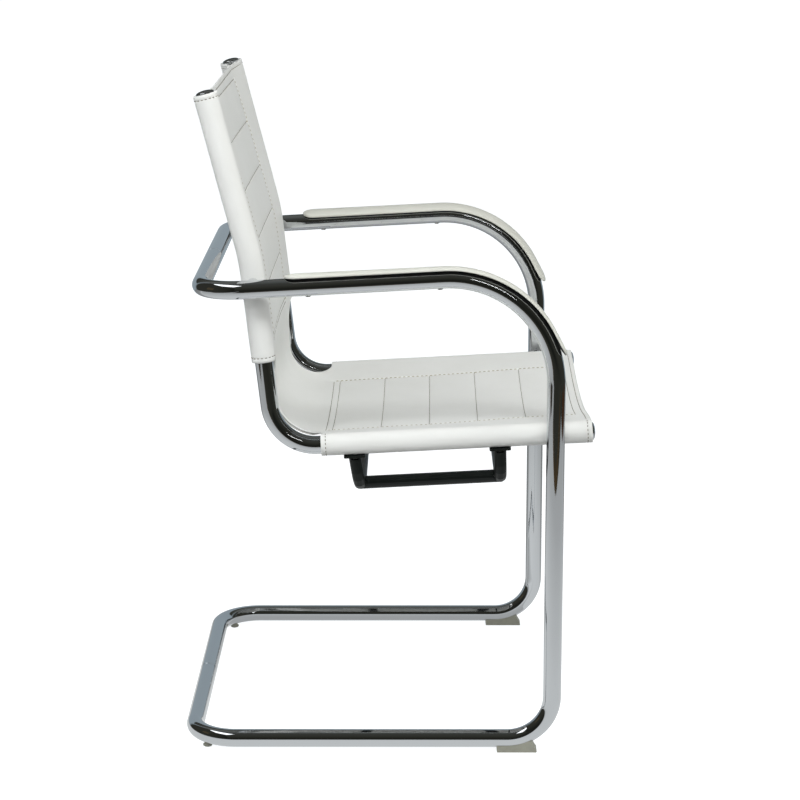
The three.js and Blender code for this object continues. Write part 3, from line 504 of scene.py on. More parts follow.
def sling_leather():
    rows = sling_rows()
    columns = face_columns()
    join = columns.index(NOTCH_JOIN)
    flap_count = len(flap_path(0))
    half = flap_count + len(columns)
    full = 2 * half + 1
    points = []
    for distance in rows:
        in_notch = BACK_END < distance < SEAT_START
        flap = flap_path(distance)
        row = []
        for index, flat in enumerate(flap):
            sunk = sleeve_relief(distance, 8.0 * index)
            away = Vector((flat.x - SIDE_SPREAD, flat.y))
            push = away.normalized() * sunk if index > 14 else Vector((0, 0))
            row.append((flat.x + push.x, flat.y + push.y))
        limit = notch_half(distance) if in_notch else NOTCH_JOIN
        across = []
        for x in columns:
            placed = x
            if in_notch and x > FLANK_START:
                reach = (limit - FLANK_START) / (NOTCH_JOIN - FLANK_START)
                placed = FLANK_START + (x - FLANK_START) * reach
            across.append(placed)
        points += [sling_point(distance, x, height) for x, height in row]
        for placed in across + [0.0] + [-x for x in reversed(across)]:
            straight = 1 - smoothstep(abs(placed), SEAM_HALF + 5, SLEEVE_BLEND)
            place = mix(distance, in_line(placed, distance), 0 if in_notch else straight)
            height = face_height(placed, place) - LEATHER / 2
            blend = 0 if in_notch else smoothstep(abs(placed), SLEEVE_BLEND, NOTCH_JOIN + 5)
            lift = relief(placed, place, in_notch) * (1 - blend)
            points.append(sling_point(place, placed, height + lift))
        points += [sling_point(distance, -x, height) for x, height in reversed(row)]
    faces = []
    for row in range(len(rows) - 1):
        in_notch = rows[row] >= BACK_END - 1e-6 and rows[row + 1] <= SEAT_START + 1e-6
        begin = flap_count + join if in_notch else 0
        end = full - 1 - begin
        for column in range(begin, end):
            a = row * full + column
            faces.append((a, a + 1, a + full + 1, a + full))
    used = sorted({index for face in faces for index in face})
    place = {index: position for position, index in enumerate(used)}
    kept = [points[index] for index in used]
    faces = [tuple(place[index] for index in face) for face in faces]
    piece = make_object("sling_leather", kept, faces)
    thicken(piece, LEATHER)
    return piece


def thicken(piece, thickness):
    """Gives a sheet its two faces and a rounded rim."""
    solid = piece.modifiers.new("thickness", "SOLIDIFY")
    solid.thickness = thickness / 1000
    solid.offset = 0
    solid.use_even_offset = True
    bpy.context.view_layer.objects.active = piece
    bpy.ops.object.modifier_apply(modifier=solid.name)


def lining_half(distance):
    """Half width of the lining: inside the flaps beside a sleeve, else out to the notch."""
    if not BACK_END < distance < SEAT_START:
        return FLAP_END - 1.5
    share = smoothstep(distance, BACK_END, BACK_END + 16)
    share *= 1 - smoothstep(distance, SEAT_START - 16, SEAT_START)
    return mix(FLAP_END - 1.5, notch_half(distance) - 0.6, share)


def sling_lining():
    rows = [row for row in sling_rows() if 2 < row < LENGTH - 2]
    shares = [0, 0.07, 0.14, 0.21, 0.28, 0.35, 0.42, 0.49, 0.56, 0.63, 0.7, 0.77, 0.84, 0.9,
              0.95, 0.985, 1]
    shares = [-share for share in shares[:0:-1]] + shares
    points = []
    for distance in rows:
        half = lining_half(distance)
        for share in shares:
            x = share * half
            in_notch = BACK_END < distance < SEAT_START
            place = distance if in_notch else in_line(x, distance)
            height = face_height(x, place) - 1.5 * LEATHER - 0.12
            nearest = min(abs(distance - seam) for seam in cross_seams(distance))
            height += 0.5 * math.exp(-((nearest / SEAM_REACH) ** 2)) - 0.25
            points.append(sling_point(place, x, height))
    piece = make_object("sling_lining", points, grid_faces(len(rows), len(shares)))
    thicken(piece, LEATHER - 0.2)
    return piece


# Stitches
STITCH_SIDES = 6
# Place along a stitch, lift and thickness there
STITCH_SHAPE = [(-0.5, -0.45, 0.55), (-0.38, 0.05, 0.85), (-0.15, 0.3, 1.0),
                (0.15, 0.3, 1.0), (0.38, 0.05, 0.85), (0.5, -0.45, 0.55)]
# Pitch, length of a stitch and thickness of the thread
CROSS_THREAD = (3.3, 3.05, 0.85)
LONG_THREAD = (6.8, 4.7, 1.55)
SLEEVE_THREAD = (5.4, 3.5, 1.05)
HEM_THREAD = (3.6, 3.2, 0.85)
LONG_THREAD_SKEW = 0.16


def stitch_row(curve, length, pitch, stitch, thread, skew=0.0):
    """Thread lying on a surface. curve(t) gives the point and the surface normal at length t."""
    points, faces = [], []
    count = max(1, int(length // pitch))
    start = (length - count * pitch) / 2
    for index in range(count):
        middle = start + (index + 0.5) * pitch
        before, _ = curve(middle - stitch / 2)
        after, _ = curve(middle + stitch / 2)
        centre, normal = curve(middle)
        along = after - before
        across = along.cross(normal).normalized()
        along = (along + across * skew * along.length).normalized() * stitch
        sideways = normal.cross(along).normalized()
        first = len(points)
        for share, lift, scale in STITCH_SHAPE:
            base = centre + along * share + normal * lift * thread
            for corner in range(STITCH_SIDES):
                angle = 2 * math.pi * corner / STITCH_SIDES
                round_ = sideways * math.cos(angle) + normal * math.sin(angle)
                points.append(base + round_ * thread * scale / 2)
        rings = len(STITCH_SHAPE)
        faces += grid_faces(rings, STITCH_SIDES, first, wrap=True)
        last = first + (rings - 1) * STITCH_SIDES
        faces.append(tuple(range(first + STITCH_SIDES - 1, first - 1, -1)))
        faces.append(tuple(range(last, last + STITCH_SIDES)))
    return points, faces


def face_curve(start, end, under=False, skewed=True):
    """A seam over the face between two (across, distance) places."""
    begin, finish = Vector(start), Vector(end)
    length = (finish - begin).length

    def place(x, row):
        distance = in_line(x, row) if skewed else row
        depth = 2 * LEATHER + 0.1 if under else 0
        lift = 0 if under else relief(x, distance, False)
        return sling_point(distance, x, face_height(x, distance) + lift - depth)

    def curve(t):
        x, distance = begin + (finish - begin) * (t / length)
        distance = min(LENGTH - 0.6, max(0.6, distance))
        point = place(x, distance)
        across = place(x + 0.5, distance) - place(x - 0.5, distance)
        along = place(x, distance + 0.5) - place(x, distance - 0.5)
        normal = along.cross(across).normalized()
        return point, (-normal if under else normal)

    return curve, length


def sleeve_curve(side, distance):
    """A hem row round the sleeve at one distance, from the flap to the face."""
    path = flap_path(distance)[3:]
    points = [sling_point(distance, side * flat.x, flat.y) for flat in path]
    centre = sling_point(distance, side * SIDE_SPREAD, 0)
    lengths = [0.0]
    for a, b in zip(points, points[1:]):
        lengths.append(lengths[-1] + (b - a).length)

    def curve(t):
        t = min(lengths[-1] - 1e-6, max(0.0, t))
        index = max(i for i, length in enumerate(lengths) if length <= t)
        index = min(index, len(points) - 2)
        share = (t - lengths[index]) / (lengths[index + 1] - lengths[index])
        point = points[index].lerp(points[index + 1], share)
        tangent = (points[index + 1] - points[index]).normalized()
        direction = LINE.at(distance)[1]
        normal = tangent.cross(direction).normalized()
        if normal.dot(point - centre) < 0:
            normal = -normal
        return point + normal * (LEATHER / 2 - 0.35), normal

    return curve, lengths[-1]


def gather(rows):
    points, faces = [], []
    for row_points, row_faces in rows:
        base = len(points)
        points += row_points
        faces += [tuple(index + base for index in face) for face in row_faces]
    return points, faces


def sling_stitches():
    """Cross seams and hems in fine thread, the long seams in bolder thread, stitch by stitch."""
    fine, bold = [], []
    for under in (False, True):
        for seam in BACK_SEAMS + SEAT_SEAMS:
            curve, length = face_curve((-SEAM_HALF, seam), (SEAM_HALF, seam), under)
            fine.append(stitch_row(curve, length, *CROSS_THREAD))
    for side in SIDES.values():
        for seams in (BACK_SEAMS, SEAT_SEAMS):
            x = side * SEAM_HALF
            curve, length = face_curve((x, seams[0]), (x, seams[-1]))
            bold.append(stitch_row(curve, length, *LONG_THREAD, skew=LONG_THREAD_SKEW * side))
        for distance in SLEEVE_ROWS:
            curve, length = sleeve_curve(side, distance)
            fine.append(stitch_row(curve, length, *SLEEVE_THREAD))
    for distance in (HEM_STITCH, LENGTH - HEM_STITCH):
        reach = NOTCH_JOIN + 4
        curve, length = face_curve((-reach, distance), (reach, distance), skewed=False)
        fine.append(stitch_row(curve, length, *HEM_THREAD))
    made = []
    for name, rows in (("sling_seams_fine", fine), ("sling_seams_bold", bold)):
        made.append(make_object(name, *gather(rows)))
    return made


# Arm pads
def pad_half_width(distance, length):
    from_end = min(distance, length - distance)
    share = min(1.0, max(0.0, 1 - from_end / PAD_END_ROUND))
    return PAD_WIDTH / 2 * math.sqrt(max(0.0, 1 - share ** 2.2 * 0.985))


def pad_section(half, thickness):
    """Outline of the pad across the arm, anticlockwise from the underside's -X corner."""
    def under(x):
        return TUBE_RADIUS + CLEARANCE - PAD_BASE - PAD_CUP * (x / (PAD_WIDTH / 2)) ** 2

    outline = []
    for step in range(PAD_UNDER_STEPS + 1):
        x = mix(-0.97, 0.97, step / PAD_UNDER_STEPS) * half
        outline.append((x, under(x)))
    for step in range(1, PAD_TOP_STEPS):
        angle = math.pi * step / PAD_TOP_STEPS
        cosine = math.cos(angle)
        x = half * math.copysign(abs(cosine) ** 0.62, cosine)
        share = x / half
        crown = math.sqrt(1 - 0.3 * share * share)
        rise = max(0.06, math.sin(angle) ** 0.42) * crown
        seam = 0.35 * math.exp(-(((rise - 0.42) / 0.1) ** 2)) if abs(share) > 0.8 else 0
        outline.append((x - math.copysign(seam, x), under(x) + thickness * rise))
    return outline


def arm_pad(name, side):
    line = pad_line(side)
    length = line.length
    stops = set(line.stops(0, length, 6, math.radians(1.5)))
    for share in (0.02, 0.06, 0.12, 0.2, 0.3, 0.42, 0.56, 0.72, 0.88, 1):
        stops |= {share * PAD_END_ROUND, length - share * PAD_END_ROUND}
    stops = sorted(stops)
    points = []
    count = 0
    for distance in stops:
        half = max(1.2, pad_half_width(distance, length))
        base = mix(PAD_THICKNESS, PAD_TIP_THICKNESS, distance / length)
        thickness = base * min(1.0, 0.35 + 0.65 * half / (PAD_WIDTH / 2))
        point, _, across, out = line.at(distance)
        outline = pad_section(half, thickness)
        count = len(outline)
        spin = side * PAD_TILT
        for x, y in outline:
            wave = 0.12 * noise.noise(Vector((x / 9, distance / 23, side * 3.0)))
            y += wave if y > TUBE_RADIUS + 2 else 0
            along_across = x * math.cos(spin) - y * math.sin(spin)
            along_out = x * math.sin(spin) + y * math.cos(spin)
            points.append(point + across * along_across + out * along_out)
    faces = grid_faces(len(stops), count, wrap=True)
    last = (len(stops) - 1) * count
    faces.append(tuple(range(count - 1, -1, -1)))
    faces.append(tuple(range(last, last + count)))
    piece = make_object(name, points, faces)
    dress(piece, PAD_HIDE)
    # The underside faces take the near-black base, painted shade along the line between the pad and the
    # tube
    piece.data.materials.append(PAD_UNDERSIDE_SHADE)
    for index in range(len(stops) - 1):
        for column in range(1, PAD_UNDER_STEPS - 1):
            piece.data.polygons[index * count + column].material_index = 1
    return piece


# Materials
def material(name):
    made = bpy.data.materials.new(name)
    made.use_nodes = True
    nodes, links = made.node_tree.nodes, made.node_tree.links
    return made, nodes, links, nodes["Principled BSDF"]


def add_node(nodes, kind, **values):
    node = nodes.new(kind)
    for key, value in values.items():
        if key in node.inputs:
            node.inputs[key].default_value = value
        else:
            setattr(node, key, value)
    return node


def join_place(nodes, links, textures):
    """Makes textures follow the object's own coordinates."""
    coordinates = nodes.new("ShaderNodeTexCoord")
    for texture in textures:
        links.new(coordinates.outputs["Object"], texture.inputs["Vector"])


def ramp(nodes, links, source, stops):
    node = nodes.new("ShaderNodeValToRGB")
    elements = node.color_ramp.elements
    while len(elements) < len(stops):
        elements.new(0.5)
    for element, (position, colour) in zip(elements, stops):
        element.position = position
        element.color = (*colour, 1)
    links.new(source, node.inputs["Fac"])
    return node.outputs["Color"]


def bumps(nodes, links, shader, layers):
    """Chains bumps: each layer is a height output, its distance in metres and its strength."""
    normal = None
    for height, distance, strength in layers:
        node = add_node(nodes, "ShaderNodeBump", Strength=strength, Distance=distance)
        links.new(height, node.inputs["Height"])
        if normal:
            links.new(normal, node.inputs["Normal"])
        normal = node.outputs["Normal"]
    links.new(normal, shader.inputs["Normal"])


def grey(value):
    return (value, value, value)


def leather_material(name, light, dark, roughness=0.5):
    made, nodes, links, shader = material(name)
    mottle = add_node(nodes, "ShaderNodeTexNoise", Scale=9.0, Detail=5.0, Roughness=0.6)
    pores = add_node(nodes, "ShaderNodeTexVoronoi", Scale=620.0, feature="DISTANCE_TO_EDGE")
    wide = add_node(nodes, "ShaderNodeTexVoronoi", Scale=210.0, feature="DISTANCE_TO_EDGE")
    creases = add_node(nodes, "ShaderNodeTexNoise", Scale=95.0, Detail=6.0, Roughness=0.65)
    join_place(nodes, links, (mottle, pores, wide, creases))
    colour = ramp(nodes, links, mottle.outputs["Fac"], [(0.3, dark), (0.7, light)])
    links.new(colour, shader.inputs["Base Color"])
    rough = ramp(nodes, links, creases.outputs["Fac"],
                 [(0.3, grey(roughness - 0.07)), (0.7, grey(roughness + 0.08))])
    links.new(rough, shader.inputs["Roughness"])
    grain = ramp(nodes, links, pores.outputs["Distance"], [(0.0, grey(0)), (0.12, grey(1))])
    folds = ramp(nodes, links, wide.outputs["Distance"], [(0.0, grey(0)), (0.06, grey(1))])
    bumps(nodes, links, shader, [
        (folds, 0.00018, 0.22),
        (grain, 0.00012, 0.3),
        (creases.outputs["Fac"], 0.0003, 0.3),
    ])
    shader.inputs["Specular IOR Level"].default_value = 0.42
    shader.inputs["Sheen Weight"].default_value = 0.06
    shader.inputs["Sheen Roughness"].default_value = 0.4
    return made


def chrome_material(name, colour, low, high):
    """Polished plate: a mirror with faint smears, fine wiping marks and ripples in the tube."""
    made, nodes, links, shader = material(name)
    smears = add_node(nodes, "ShaderNodeTexNoise", Scale=14.0, Detail=6.0, Roughness=0.6)
    ripples = add_node(nodes, "ShaderNodeTexNoise", Scale=22.0, Detail=1.0)
    scratches = add_node(nodes, "ShaderNodeTexNoise", Scale=900.0, Detail=3.0)
    join_place(nodes, links, (smears, ripples, scratches))
    tint = ramp(nodes, links, smears.outputs["Fac"],
                [(0.35, tuple(0.985 * c for c in colour)), (0.65, colour)])
    links.new(tint, shader.inputs["Base Color"])
    rough = ramp(nodes, links, smears.outputs["Fac"], [(0.4, grey(low)), (0.75, grey(high))])
    links.new(rough, shader.inputs["Roughness"])
    bumps(nodes, links, shader, [
        (ripples.outputs["Fac"], 0.0004, 0.05),
        (scratches.outputs["Fac"], 0.00002, 0.08),
    ])
    shader.inputs["Metallic"].default_value = 1.0
    return made


def paint_material(name, colour, roughness, peel_scale, peel, shine=0.5):
    """Satin paint or moulded plastic with orange peel and slightly uneven gloss."""
    made, nodes, links, shader = material(name)
    peel_noise = add_node(nodes, "ShaderNodeTexNoise", Scale=peel_scale, Detail=3.0)
    dust = add_node(nodes, "ShaderNodeTexNoise", Scale=30.0, Detail=7.0, Roughness=0.7)
    join_place(nodes, links, (peel_noise, dust))
    tint = ramp(nodes, links, dust.outputs["Fac"],
                [(0.3, tuple(0.85 * c for c in colour)), (0.75, tuple(1.12 * c for c in colour))])
    links.new(tint, shader.inputs["Base Color"])
    rough = ramp(nodes, links, dust.outputs["Fac"],
                 [(0.35, grey(roughness - 0.05)), (0.7, grey(roughness + 0.08))])
    links.new(rough, shader.inputs["Roughness"])
    bumps(nodes, links, shader, [(peel_noise.outputs["Fac"], 0.0001, peel)])
    shader.inputs["Specular IOR Level"].default_value = shine
    return made


def thread_material(name, colour):
    made, nodes, links, shader = material(name)
    twist = add_node(nodes, "ShaderNodeTexNoise", Scale=1800.0, Detail=2.0)
    tone = add_node(nodes, "ShaderNodeTexNoise", Scale=60.0, Detail=4.0)
    join_place(nodes, links, (twist, tone))
    tint = ramp(nodes, links, tone.outputs["Fac"],
                [(0.3, tuple(0.8 * c for c in colour)), (0.7, tuple(1.15 * c for c in colour))])
    links.new(tint, shader.inputs["Base Color"])
    bumps(nodes, links, shader, [(twist.outputs["Fac"], 0.0002, 0.6)])
    shader.inputs["Roughness"].default_value = 0.75
    return made


def dress(piece, look):
    piece.data.materials.clear()
    piece.data.materials.append(look)


CHROME = chrome_material("chrome_plate", (0.67, 0.69, 0.71), 0.03, 0.09)
ZINC = chrome_material("zinc_plate", (0.58, 0.59, 0.58), 0.28, 0.42)
# A lighter copy of the zinc plate for the arm pads' screws: painted light that lifts their heads, which
# sit in shade under the arm
SCREW_ZINC_LIT = chrome_material("zinc_painted_light", (0.9, 0.9, 0.87), 0.2, 0.35)
BRASS = chrome_material("yellow_zinc", (0.62, 0.47, 0.2), 0.25, 0.4)
HIDE = leather_material("white_leather", (0.83, 0.835, 0.81), (0.79, 0.795, 0.765))
SUEDE = leather_material("leather_reverse", (0.68, 0.67, 0.63), (0.6, 0.59, 0.55), 0.75)
PAD_HIDE = leather_material("pad_leather", (0.68, 0.68, 0.62), (0.64, 0.64, 0.575), 0.45)
# Near-black underside of the pads: a dark base, its colour painted shade for the dark line between pad
# and tube
PAD_UNDERSIDE_SHADE = paint_material("pad_underside_painted_shade", (0.03, 0.03, 0.027), 0.8, 500.0, 0.5)
PAINT = paint_material("black_powder_coat", (0.006, 0.008, 0.007), 0.36, 700.0, 0.25, shine=0.27)
GLIDE = paint_material("glide_plastic", (0.34, 0.34, 0.28), 0.5, 900.0, 0.25)
# The pad core, near black: painted shade where it shows in the line between pad and tube
PAD_CORE_SHADE = paint_material("pad_core_painted_shade", (0.03, 0.03, 0.028), 0.7, 400.0, 0.5)
THREAD = thread_material("taupe_thread", (0.2, 0.175, 0.13))
PALE_THREAD = thread_material("sand_thread", (0.4, 0.355, 0.25))

SLOT_LOOKS = {
    "chrome": CHROME, "leather": HIDE, "black_paint": PAINT, "glide_plastic": GLIDE,
    "zinc": ZINC, "brass": BRASS, "pad_core": PAD_CORE_SHADE,
}

for row in frame["record"]["subparts"]:
    node = NODES[row["node"]]
    # The pad screws take the lighter zinc copy, painted light against the shade under the arm
    dress(node, SCREW_ZINC_LIT if "pad_screw" in row["node"] else SLOT_LOOKS[row["material_slot"]])
    node.data.polygons.foreach_set("use_smooth", [True] * len(node.data.polygons))
    node.data.set_sharp_from_angle(angle=math.radians(28))

# Chrome tubes and caps in full roundness. A cap's profile is given as radius and height.
CAP_SEAT = 0.3
CAP_RISE = 4
CAP_COLLAR = [(8.1, -12), (10.1, -12), (10.1, 0.25), (12.3, CAP_SEAT)]
for name, side in SIDES.items():
    line = frame_line(side)
    piece = tube(f"frame_tube_{name}", line, 0, line.length, TUBE_RADIUS, BORE_RADIUS)
    dress(piece, CHROME)
    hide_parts(f"frame_half_{name}")
    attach(piece, "root")
    line = side_line(side * SIDE_SPREAD)
    piece = tube(f"l_tube_{name}", line, 0, line.length, TUBE_RADIUS, BORE_RADIUS)
    dress(piece, CHROME)
    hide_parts(f"side_tube_{name}")
    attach(piece, "root")
    for where, distance, facing in (("back", 0, -1), ("seat", line.length, 1)):
        point, direction, _, _ = line.at(distance)
        dome = [(TUBE_RADIUS * math.cos(angle), CAP_SEAT + CAP_RISE * math.sin(angle))
                for angle in (math.pi / 2 * step / 14 for step in range(14))]
        profile = CAP_COLLAR + dome + [(0.05, CAP_SEAT + CAP_RISE)]
        piece = lathe(f"{where}_plug_{name}", profile, point, direction * facing)
        dress(piece, CHROME)
        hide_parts(f"{where}_cap_{name}")
        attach(piece, "root")

# The sling
sling = sling_leather()
dress(sling, HIDE)
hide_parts("sling_panel", "back_sleeve_right", "back_sleeve_left",
            "seat_sleeve_right", "seat_sleeve_left")
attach(sling, "root")
lining = sling_lining()
dress(lining, SUEDE)
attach(lining, "root")
seams_fine, seams_bold = sling_stitches()
dress(seams_fine, THREAD)
dress(seams_bold, PALE_THREAD)
for piece in (seams_fine, seams_bold):
    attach(piece, "root")


def path_length(points):
    return sum((b - a).length for a, b in zip(points, points[1:]))


wrap = path_length(flap_path(300))

# Arm pads
for name, side in SIDES.items():
    piece = arm_pad(f"arm_pad_cover_{name}", side)
    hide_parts(f"arm_pad_{name}")
    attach(piece, "root")


# Camera solved from the photograph; the focal length is in pixels of its 800-pixel width
PHOTO_WIDTH = 800
FOCAL_PIXELS = 2335.0
SENSOR_WIDTH = 36
CAMERA_PLACE = Vector((-3.3193, 0.1883 + DRAWING_SHIFT_Y / 1000, 1.2492))
CAMERA_ANGLES = (math.radians(13.74), math.radians(-0.41), math.radians(0.12))


def place_camera():
    data = bpy.data.cameras.new("camera")
    data.sensor_width = SENSOR_WIDTH
    data.lens = FOCAL_PIXELS * SENSOR_WIDTH / PHOTO_WIDTH
    camera = bpy.data.objects.new("camera", data)
    bpy.context.scene.collection.objects.link(camera)
    pitch, yaw, roll = CAMERA_ANGLES
    flat_forward = Vector((math.cos(yaw), -math.sin(yaw), 0))
    flat_right = Vector((-math.sin(yaw), -math.cos(yaw), 0))
    down = Vector((0, 0, -1))
    forward = flat_forward * math.cos(pitch) + down * math.sin(pitch)
    tipped = down * math.cos(pitch) - flat_forward * math.sin(pitch)
    right = flat_right * math.cos(roll) + tipped * math.sin(roll)
    lower = tipped * math.cos(roll) - flat_right * math.sin(roll)
    turn = Matrix((right, -lower, -forward)).transposed()
    camera.matrix_world = Matrix.Translation(CAMERA_PLACE) @ turn.to_4x4()
    data.clip_end = 100
    bpy.context.scene.camera = camera


place_camera()


# Studio, in metres in the row frame
AMBIENT = 0.42
FLOOR_COLOUR = (0.42, 0.42, 0.42, 1)
FLOOR_GLOW = 0.9
FLOOR_TINT = (0.96, 0.985, 1, 1)
ROOM_HEIGHT = 2.7
FAR_WALL = 1.35
SIDE_WALL = 1.95
NEAR_WALL = 4.2
# Outlines (X, Y) in metres of the dark boards and of the shades on the paper
BOARDS = [(-1.64, 1.0), (-4.2, 1.0), (-4.2, -1.95), (-1.16, -1.95), (-1.34, -1.42), (-1.52, -0.86),
          (-1.57, -0.36)]
BOARDS_REAR = [(-0.74, 1.62), (-0.55, 1.95), (-4.2, 1.95), (-4.2, 1.3), (-1.79, 1.35)]
SHADE_FAR = [(0.3, -SIDE_WALL), (FAR_WALL, -SIDE_WALL), (FAR_WALL, SIDE_WALL), (0.3, SIDE_WALL)]
SHADE_UNDER = [(0.02, -0.23), (0.262, -0.23), (0.262, 0.25), (0.02, 0.25)]


def plane(name, size, location, facing=(0, 0, 1)):
    half_x, half_y = size[0] / 2, size[1] / 2
    mesh = bpy.data.meshes.new(name)
    mesh.from_pydata([(-half_x, -half_y, 0), (half_x, -half_y, 0), (half_x, half_y, 0),
                      (-half_x, half_y, 0)], [], [(0, 1, 2, 3)])
    made = bpy.data.objects.new(name, mesh)
    bpy.context.scene.collection.objects.link(made)
    made.location = location
    made.rotation_mode = "QUATERNION"
    made.rotation_quaternion = Vector(facing).to_track_quat("Z", "Y")
    return made


def seen_rays(nodes, links):
    """1 for camera, glossy and transmission rays, 0 for the rest."""
    rays = nodes.new("ShaderNodeLightPath")
    first = add_node(nodes, "ShaderNodeMath", operation="ADD", use_clamp=True)
    second = add_node(nodes, "ShaderNodeMath", operation="ADD", use_clamp=True)
    links.new(rays.outputs["Is Camera Ray"], first.inputs[0])
    links.new(rays.outputs["Is Glossy Ray"], first.inputs[1])
    links.new(first.outputs[0], second.inputs[0])
    links.new(rays.outputs["Is Transmission Ray"], second.inputs[1])
    return second.outputs[0]


def paper(value):
    return (0.98 * value, value, value)


def floor_patch(name, corners, height):
    mesh = bpy.data.meshes.new(name)
    mesh.from_pydata([(x, y, height) for x, y in corners], [], [tuple(range(len(corners)))])
    made = bpy.data.objects.new(name, mesh)
    bpy.context.scene.collection.objects.link(made)
    return made


def glowing_card(card, axis, stops):
    """Makes a stage card that is seen only in reflections, its glow graded along one world
    axis, or for axis "out" by the distance from the middle of the floor."""
    look, nodes, links, shader = material(f"{card.name}_glow")
    output = nodes["Material Output"]
    nodes.remove(shader)
    place = nodes.new("ShaderNodeNewGeometry")
    if axis == "out":
        axis = "Value"
        split = add_node(nodes, "ShaderNodeVectorMath", operation="LENGTH")
    else:
        split = nodes.new("ShaderNodeSeparateXYZ")
    links.new(place.outputs["Position"], split.inputs[0])
    span = add_node(nodes, "ShaderNodeMapRange")
    span.inputs["From Min"].default_value = stops[0][0]
    span.inputs["From Max"].default_value = stops[-1][0]
    links.new(split.outputs[axis], span.inputs["Value"])
    reach = stops[-1][0] - stops[0][0]
    shades = [((mark - stops[0][0]) / reach, colour) for mark, colour in stops]
    colour = ramp(nodes, links, span.outputs["Result"], shades)
    glow = nodes.new("ShaderNodeEmission")
    links.new(colour, glow.inputs["Color"])
    links.new(glow.outputs[0], output.inputs["Surface"])
    card.data.materials.append(look)
    card.visible_camera = False
    card.visible_diffuse = False
    card.visible_shadow = False
    card.visible_transmission = False
    return card


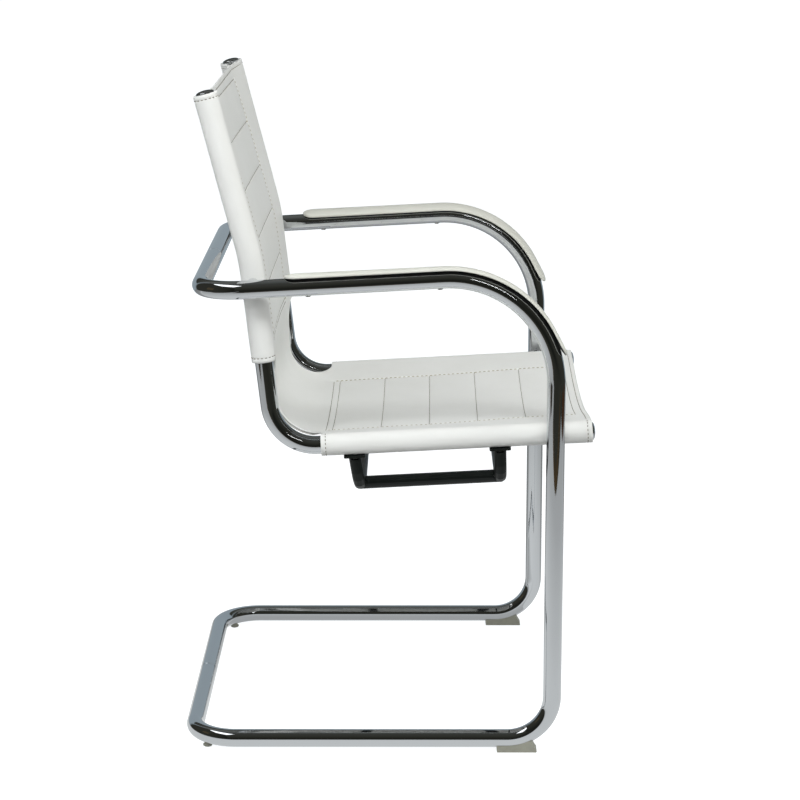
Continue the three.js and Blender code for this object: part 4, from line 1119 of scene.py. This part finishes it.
def studio():
    floor = plane("floor", (60, 60), (0, 0, 0))
    look, nodes, links, shader = material("floor_paper")
    output = nodes["Material Output"]
    nodes.remove(shader)
    diffuse = nodes.new("ShaderNodeBsdfDiffuse")
    diffuse.inputs["Color"].default_value = FLOOR_COLOUR
    glow = nodes.new("ShaderNodeEmission")
    glow.inputs["Color"].default_value = FLOOR_TINT
    lift = add_node(nodes, "ShaderNodeMath", operation="MULTIPLY")
    lift.inputs[1].default_value = FLOOR_GLOW
    links.new(seen_rays(nodes, links), lift.inputs[0])
    links.new(lift.outputs[0], glow.inputs["Strength"])
    both = nodes.new("ShaderNodeAddShader")
    links.new(diffuse.outputs[0], both.inputs[0])
    links.new(glow.outputs[0], both.inputs[1])
    links.new(both.outputs[0], output.inputs["Surface"])
    floor.data.materials.append(look)

    world = bpy.data.worlds.new("studio_air")
    bpy.context.scene.world = world
    world.use_nodes = True
    nodes, links = world.node_tree.nodes, world.node_tree.links
    background = nodes["Background"]
    level = add_node(nodes, "ShaderNodeMapRange")
    level.inputs["To Min"].default_value = AMBIENT
    level.inputs["To Max"].default_value = 1.0
    links.new(seen_rays(nodes, links), level.inputs["Value"])
    background.inputs["Color"].default_value = (1, 1, 1, 1)
    links.new(level.outputs["Result"], background.inputs["Strength"])

    wide, middle = 2 * SIDE_WALL, ROOM_HEIGHT / 2
    depth = FAR_WALL + NEAR_WALL
    centre = (FAR_WALL - NEAR_WALL) / 2
    far_low, far_high = (0.33, 0.385, 0.42), (0.14, 0.145, 0.135)
    dim, dark, black = (0.06, 0.062, 0.055), (0.035, 0.035, 0.028), (0.01, 0.011, 0.009)
    wood = (0.05, 0.024, 0.012)
    glowing_card(plane("card_far", (wide, ROOM_HEIGHT), (FAR_WALL, 0, middle), (-1, 0, 0)), "Z",
                 [(0, far_low), (1.06, far_low), (1.16, dark), (1.7, dim), (ROOM_HEIGHT, far_high)])
    glowing_card(plane("card_near", (wide, ROOM_HEIGHT), (-NEAR_WALL, 0, middle), (1, 0, 0)), "Z",
                 [(0, black), (ROOM_HEIGHT, dark)])
    glowing_card(plane("card_ceiling", (depth, wide), (centre, 0, ROOM_HEIGHT), (0, 0, -1)), "X",
                 [(-NEAR_WALL, dark), (-1.2, (0.05, 0.051, 0.045)), (0, (0.1, 0.105, 0.1)),
                  (FAR_WALL, far_high)])
    end = (depth, ROOM_HEIGHT)
    glowing_card(plane("card_end_rear", end, (centre, SIDE_WALL, middle), (0, -1, 0)), "X",
                 [(-NEAR_WALL, black), (-0.6, dark), (1.0, dark), (FAR_WALL, far_low)])
    glowing_card(plane("card_door", (0.55, 0.6), (-0.55, SIDE_WALL - 0.02, 1.0), (0, -1, 0)),
                 "Z", [(0.7, (0.09, 0.07, 0.04)), (1.3, (0.06, 0.05, 0.035))])
    glowing_card(plane("card_end_front", end, (centre, -SIDE_WALL, middle), (0, 1, 0)), "X",
                 [(-NEAR_WALL, black), (-0.9, dark), (0.9, dark), (FAR_WALL, far_low)])
    glowing_card(plane("card_skirt", (FAR_WALL + 0.75, 0.12),
                       ((FAR_WALL - 0.75) / 2, 0.01 - SIDE_WALL, 0.06), (0, 1, 0)),
                 "X", [(-0.75, wood), (FAR_WALL, wood)])
    glowing_card(floor_patch("card_boards", BOARDS, 0.002), "X",
                 [(-NEAR_WALL, black), (-1.85, dark), (-1.66, (0.07, 0.045, 0.02)), (-1.5, dark),
                  (-1.1, dark)])
    glowing_card(floor_patch("card_boards_rear", BOARDS_REAR, 0.002), "X",
                 [(-NEAR_WALL, black), (-1.2, dark), (-0.5, wood)])
    glowing_card(plane("card_paper", (depth, wide), (centre, 0, 0.001)), "out",
                 [(0, paper(0.78)), (0.6, paper(0.7)), (1.0, paper(0.6)), (1.4, paper(0.5)),
                  (2.25, paper(0.43))])
    glowing_card(floor_patch("card_paper_far", SHADE_FAR, 0.0015), "X",
                 [(0.3, paper(0.66)), (0.55, paper(0.32)), (FAR_WALL, paper(0.22))])
    glowing_card(floor_patch("card_shade", SHADE_UNDER, 0.0012), "X",
                 [(0.02, paper(0.72)), (0.1, paper(0.58)), (0.262, paper(0.47))])


# Name, place, target, size, power, colour, whether mirrors show it, and roll in degrees
LAMPS = [
    ("strip_front", (-2.98, -1.05, 2.0), (0, 0, 0.5), (0.045, 1.2), 1.7, (0.985, 0.995, 0.99), True, 34),
    ("strip_rear", (-0.7, 1.52, 2.6), (-0.7, 1.52, 0), (2.2, 0.85), 12, (0.98, 0.99, 1.0), True, 33),
    ("key", (-2.9, -1.1, 2.05), (0, 0, 0.5), (0.9, 0.9), 9, (0.955, 0.98, 1.0), False, 0),
    ("fill_rear", (-1.5, 2.5, 1.6), (0, 0, 0.5), (1.2, 1.0), 19, (0.945, 0.975, 1.0), False, 0),
    ("fill_front", (-0.9, -2.4, 1.7), (0, 0.1, 0.6), (1.2, 1.2), 19, (1.0, 1.0, 0.94), False, 0),
    ("high", (-1.85, -0.1, 2.4), (0, 0.1, 0.6), (0.62, 0.62), 29, (0.965, 0.985, 1.0), False, 0),
]


def lamp(name, place, target, size, power, colour, mirrored, roll):
    data = bpy.data.lights.new(name, "AREA")
    data.shape = "RECTANGLE"
    data.size, data.size_y = size
    data.energy = power
    data.color = colour
    made = bpy.data.objects.new(name, data)
    bpy.context.scene.collection.objects.link(made)
    made.location = place
    made.rotation_mode = "QUATERNION"
    facing = (Vector(place) - Vector(target)).to_track_quat("Z", "Y")
    made.rotation_quaternion = facing @ Quaternion(UP, math.radians(roll))
    made.visible_glossy = mirrored


studio()
for values in LAMPS:
    lamp(*values)

scene = bpy.context.scene
scene.view_settings.view_transform = "Standard"
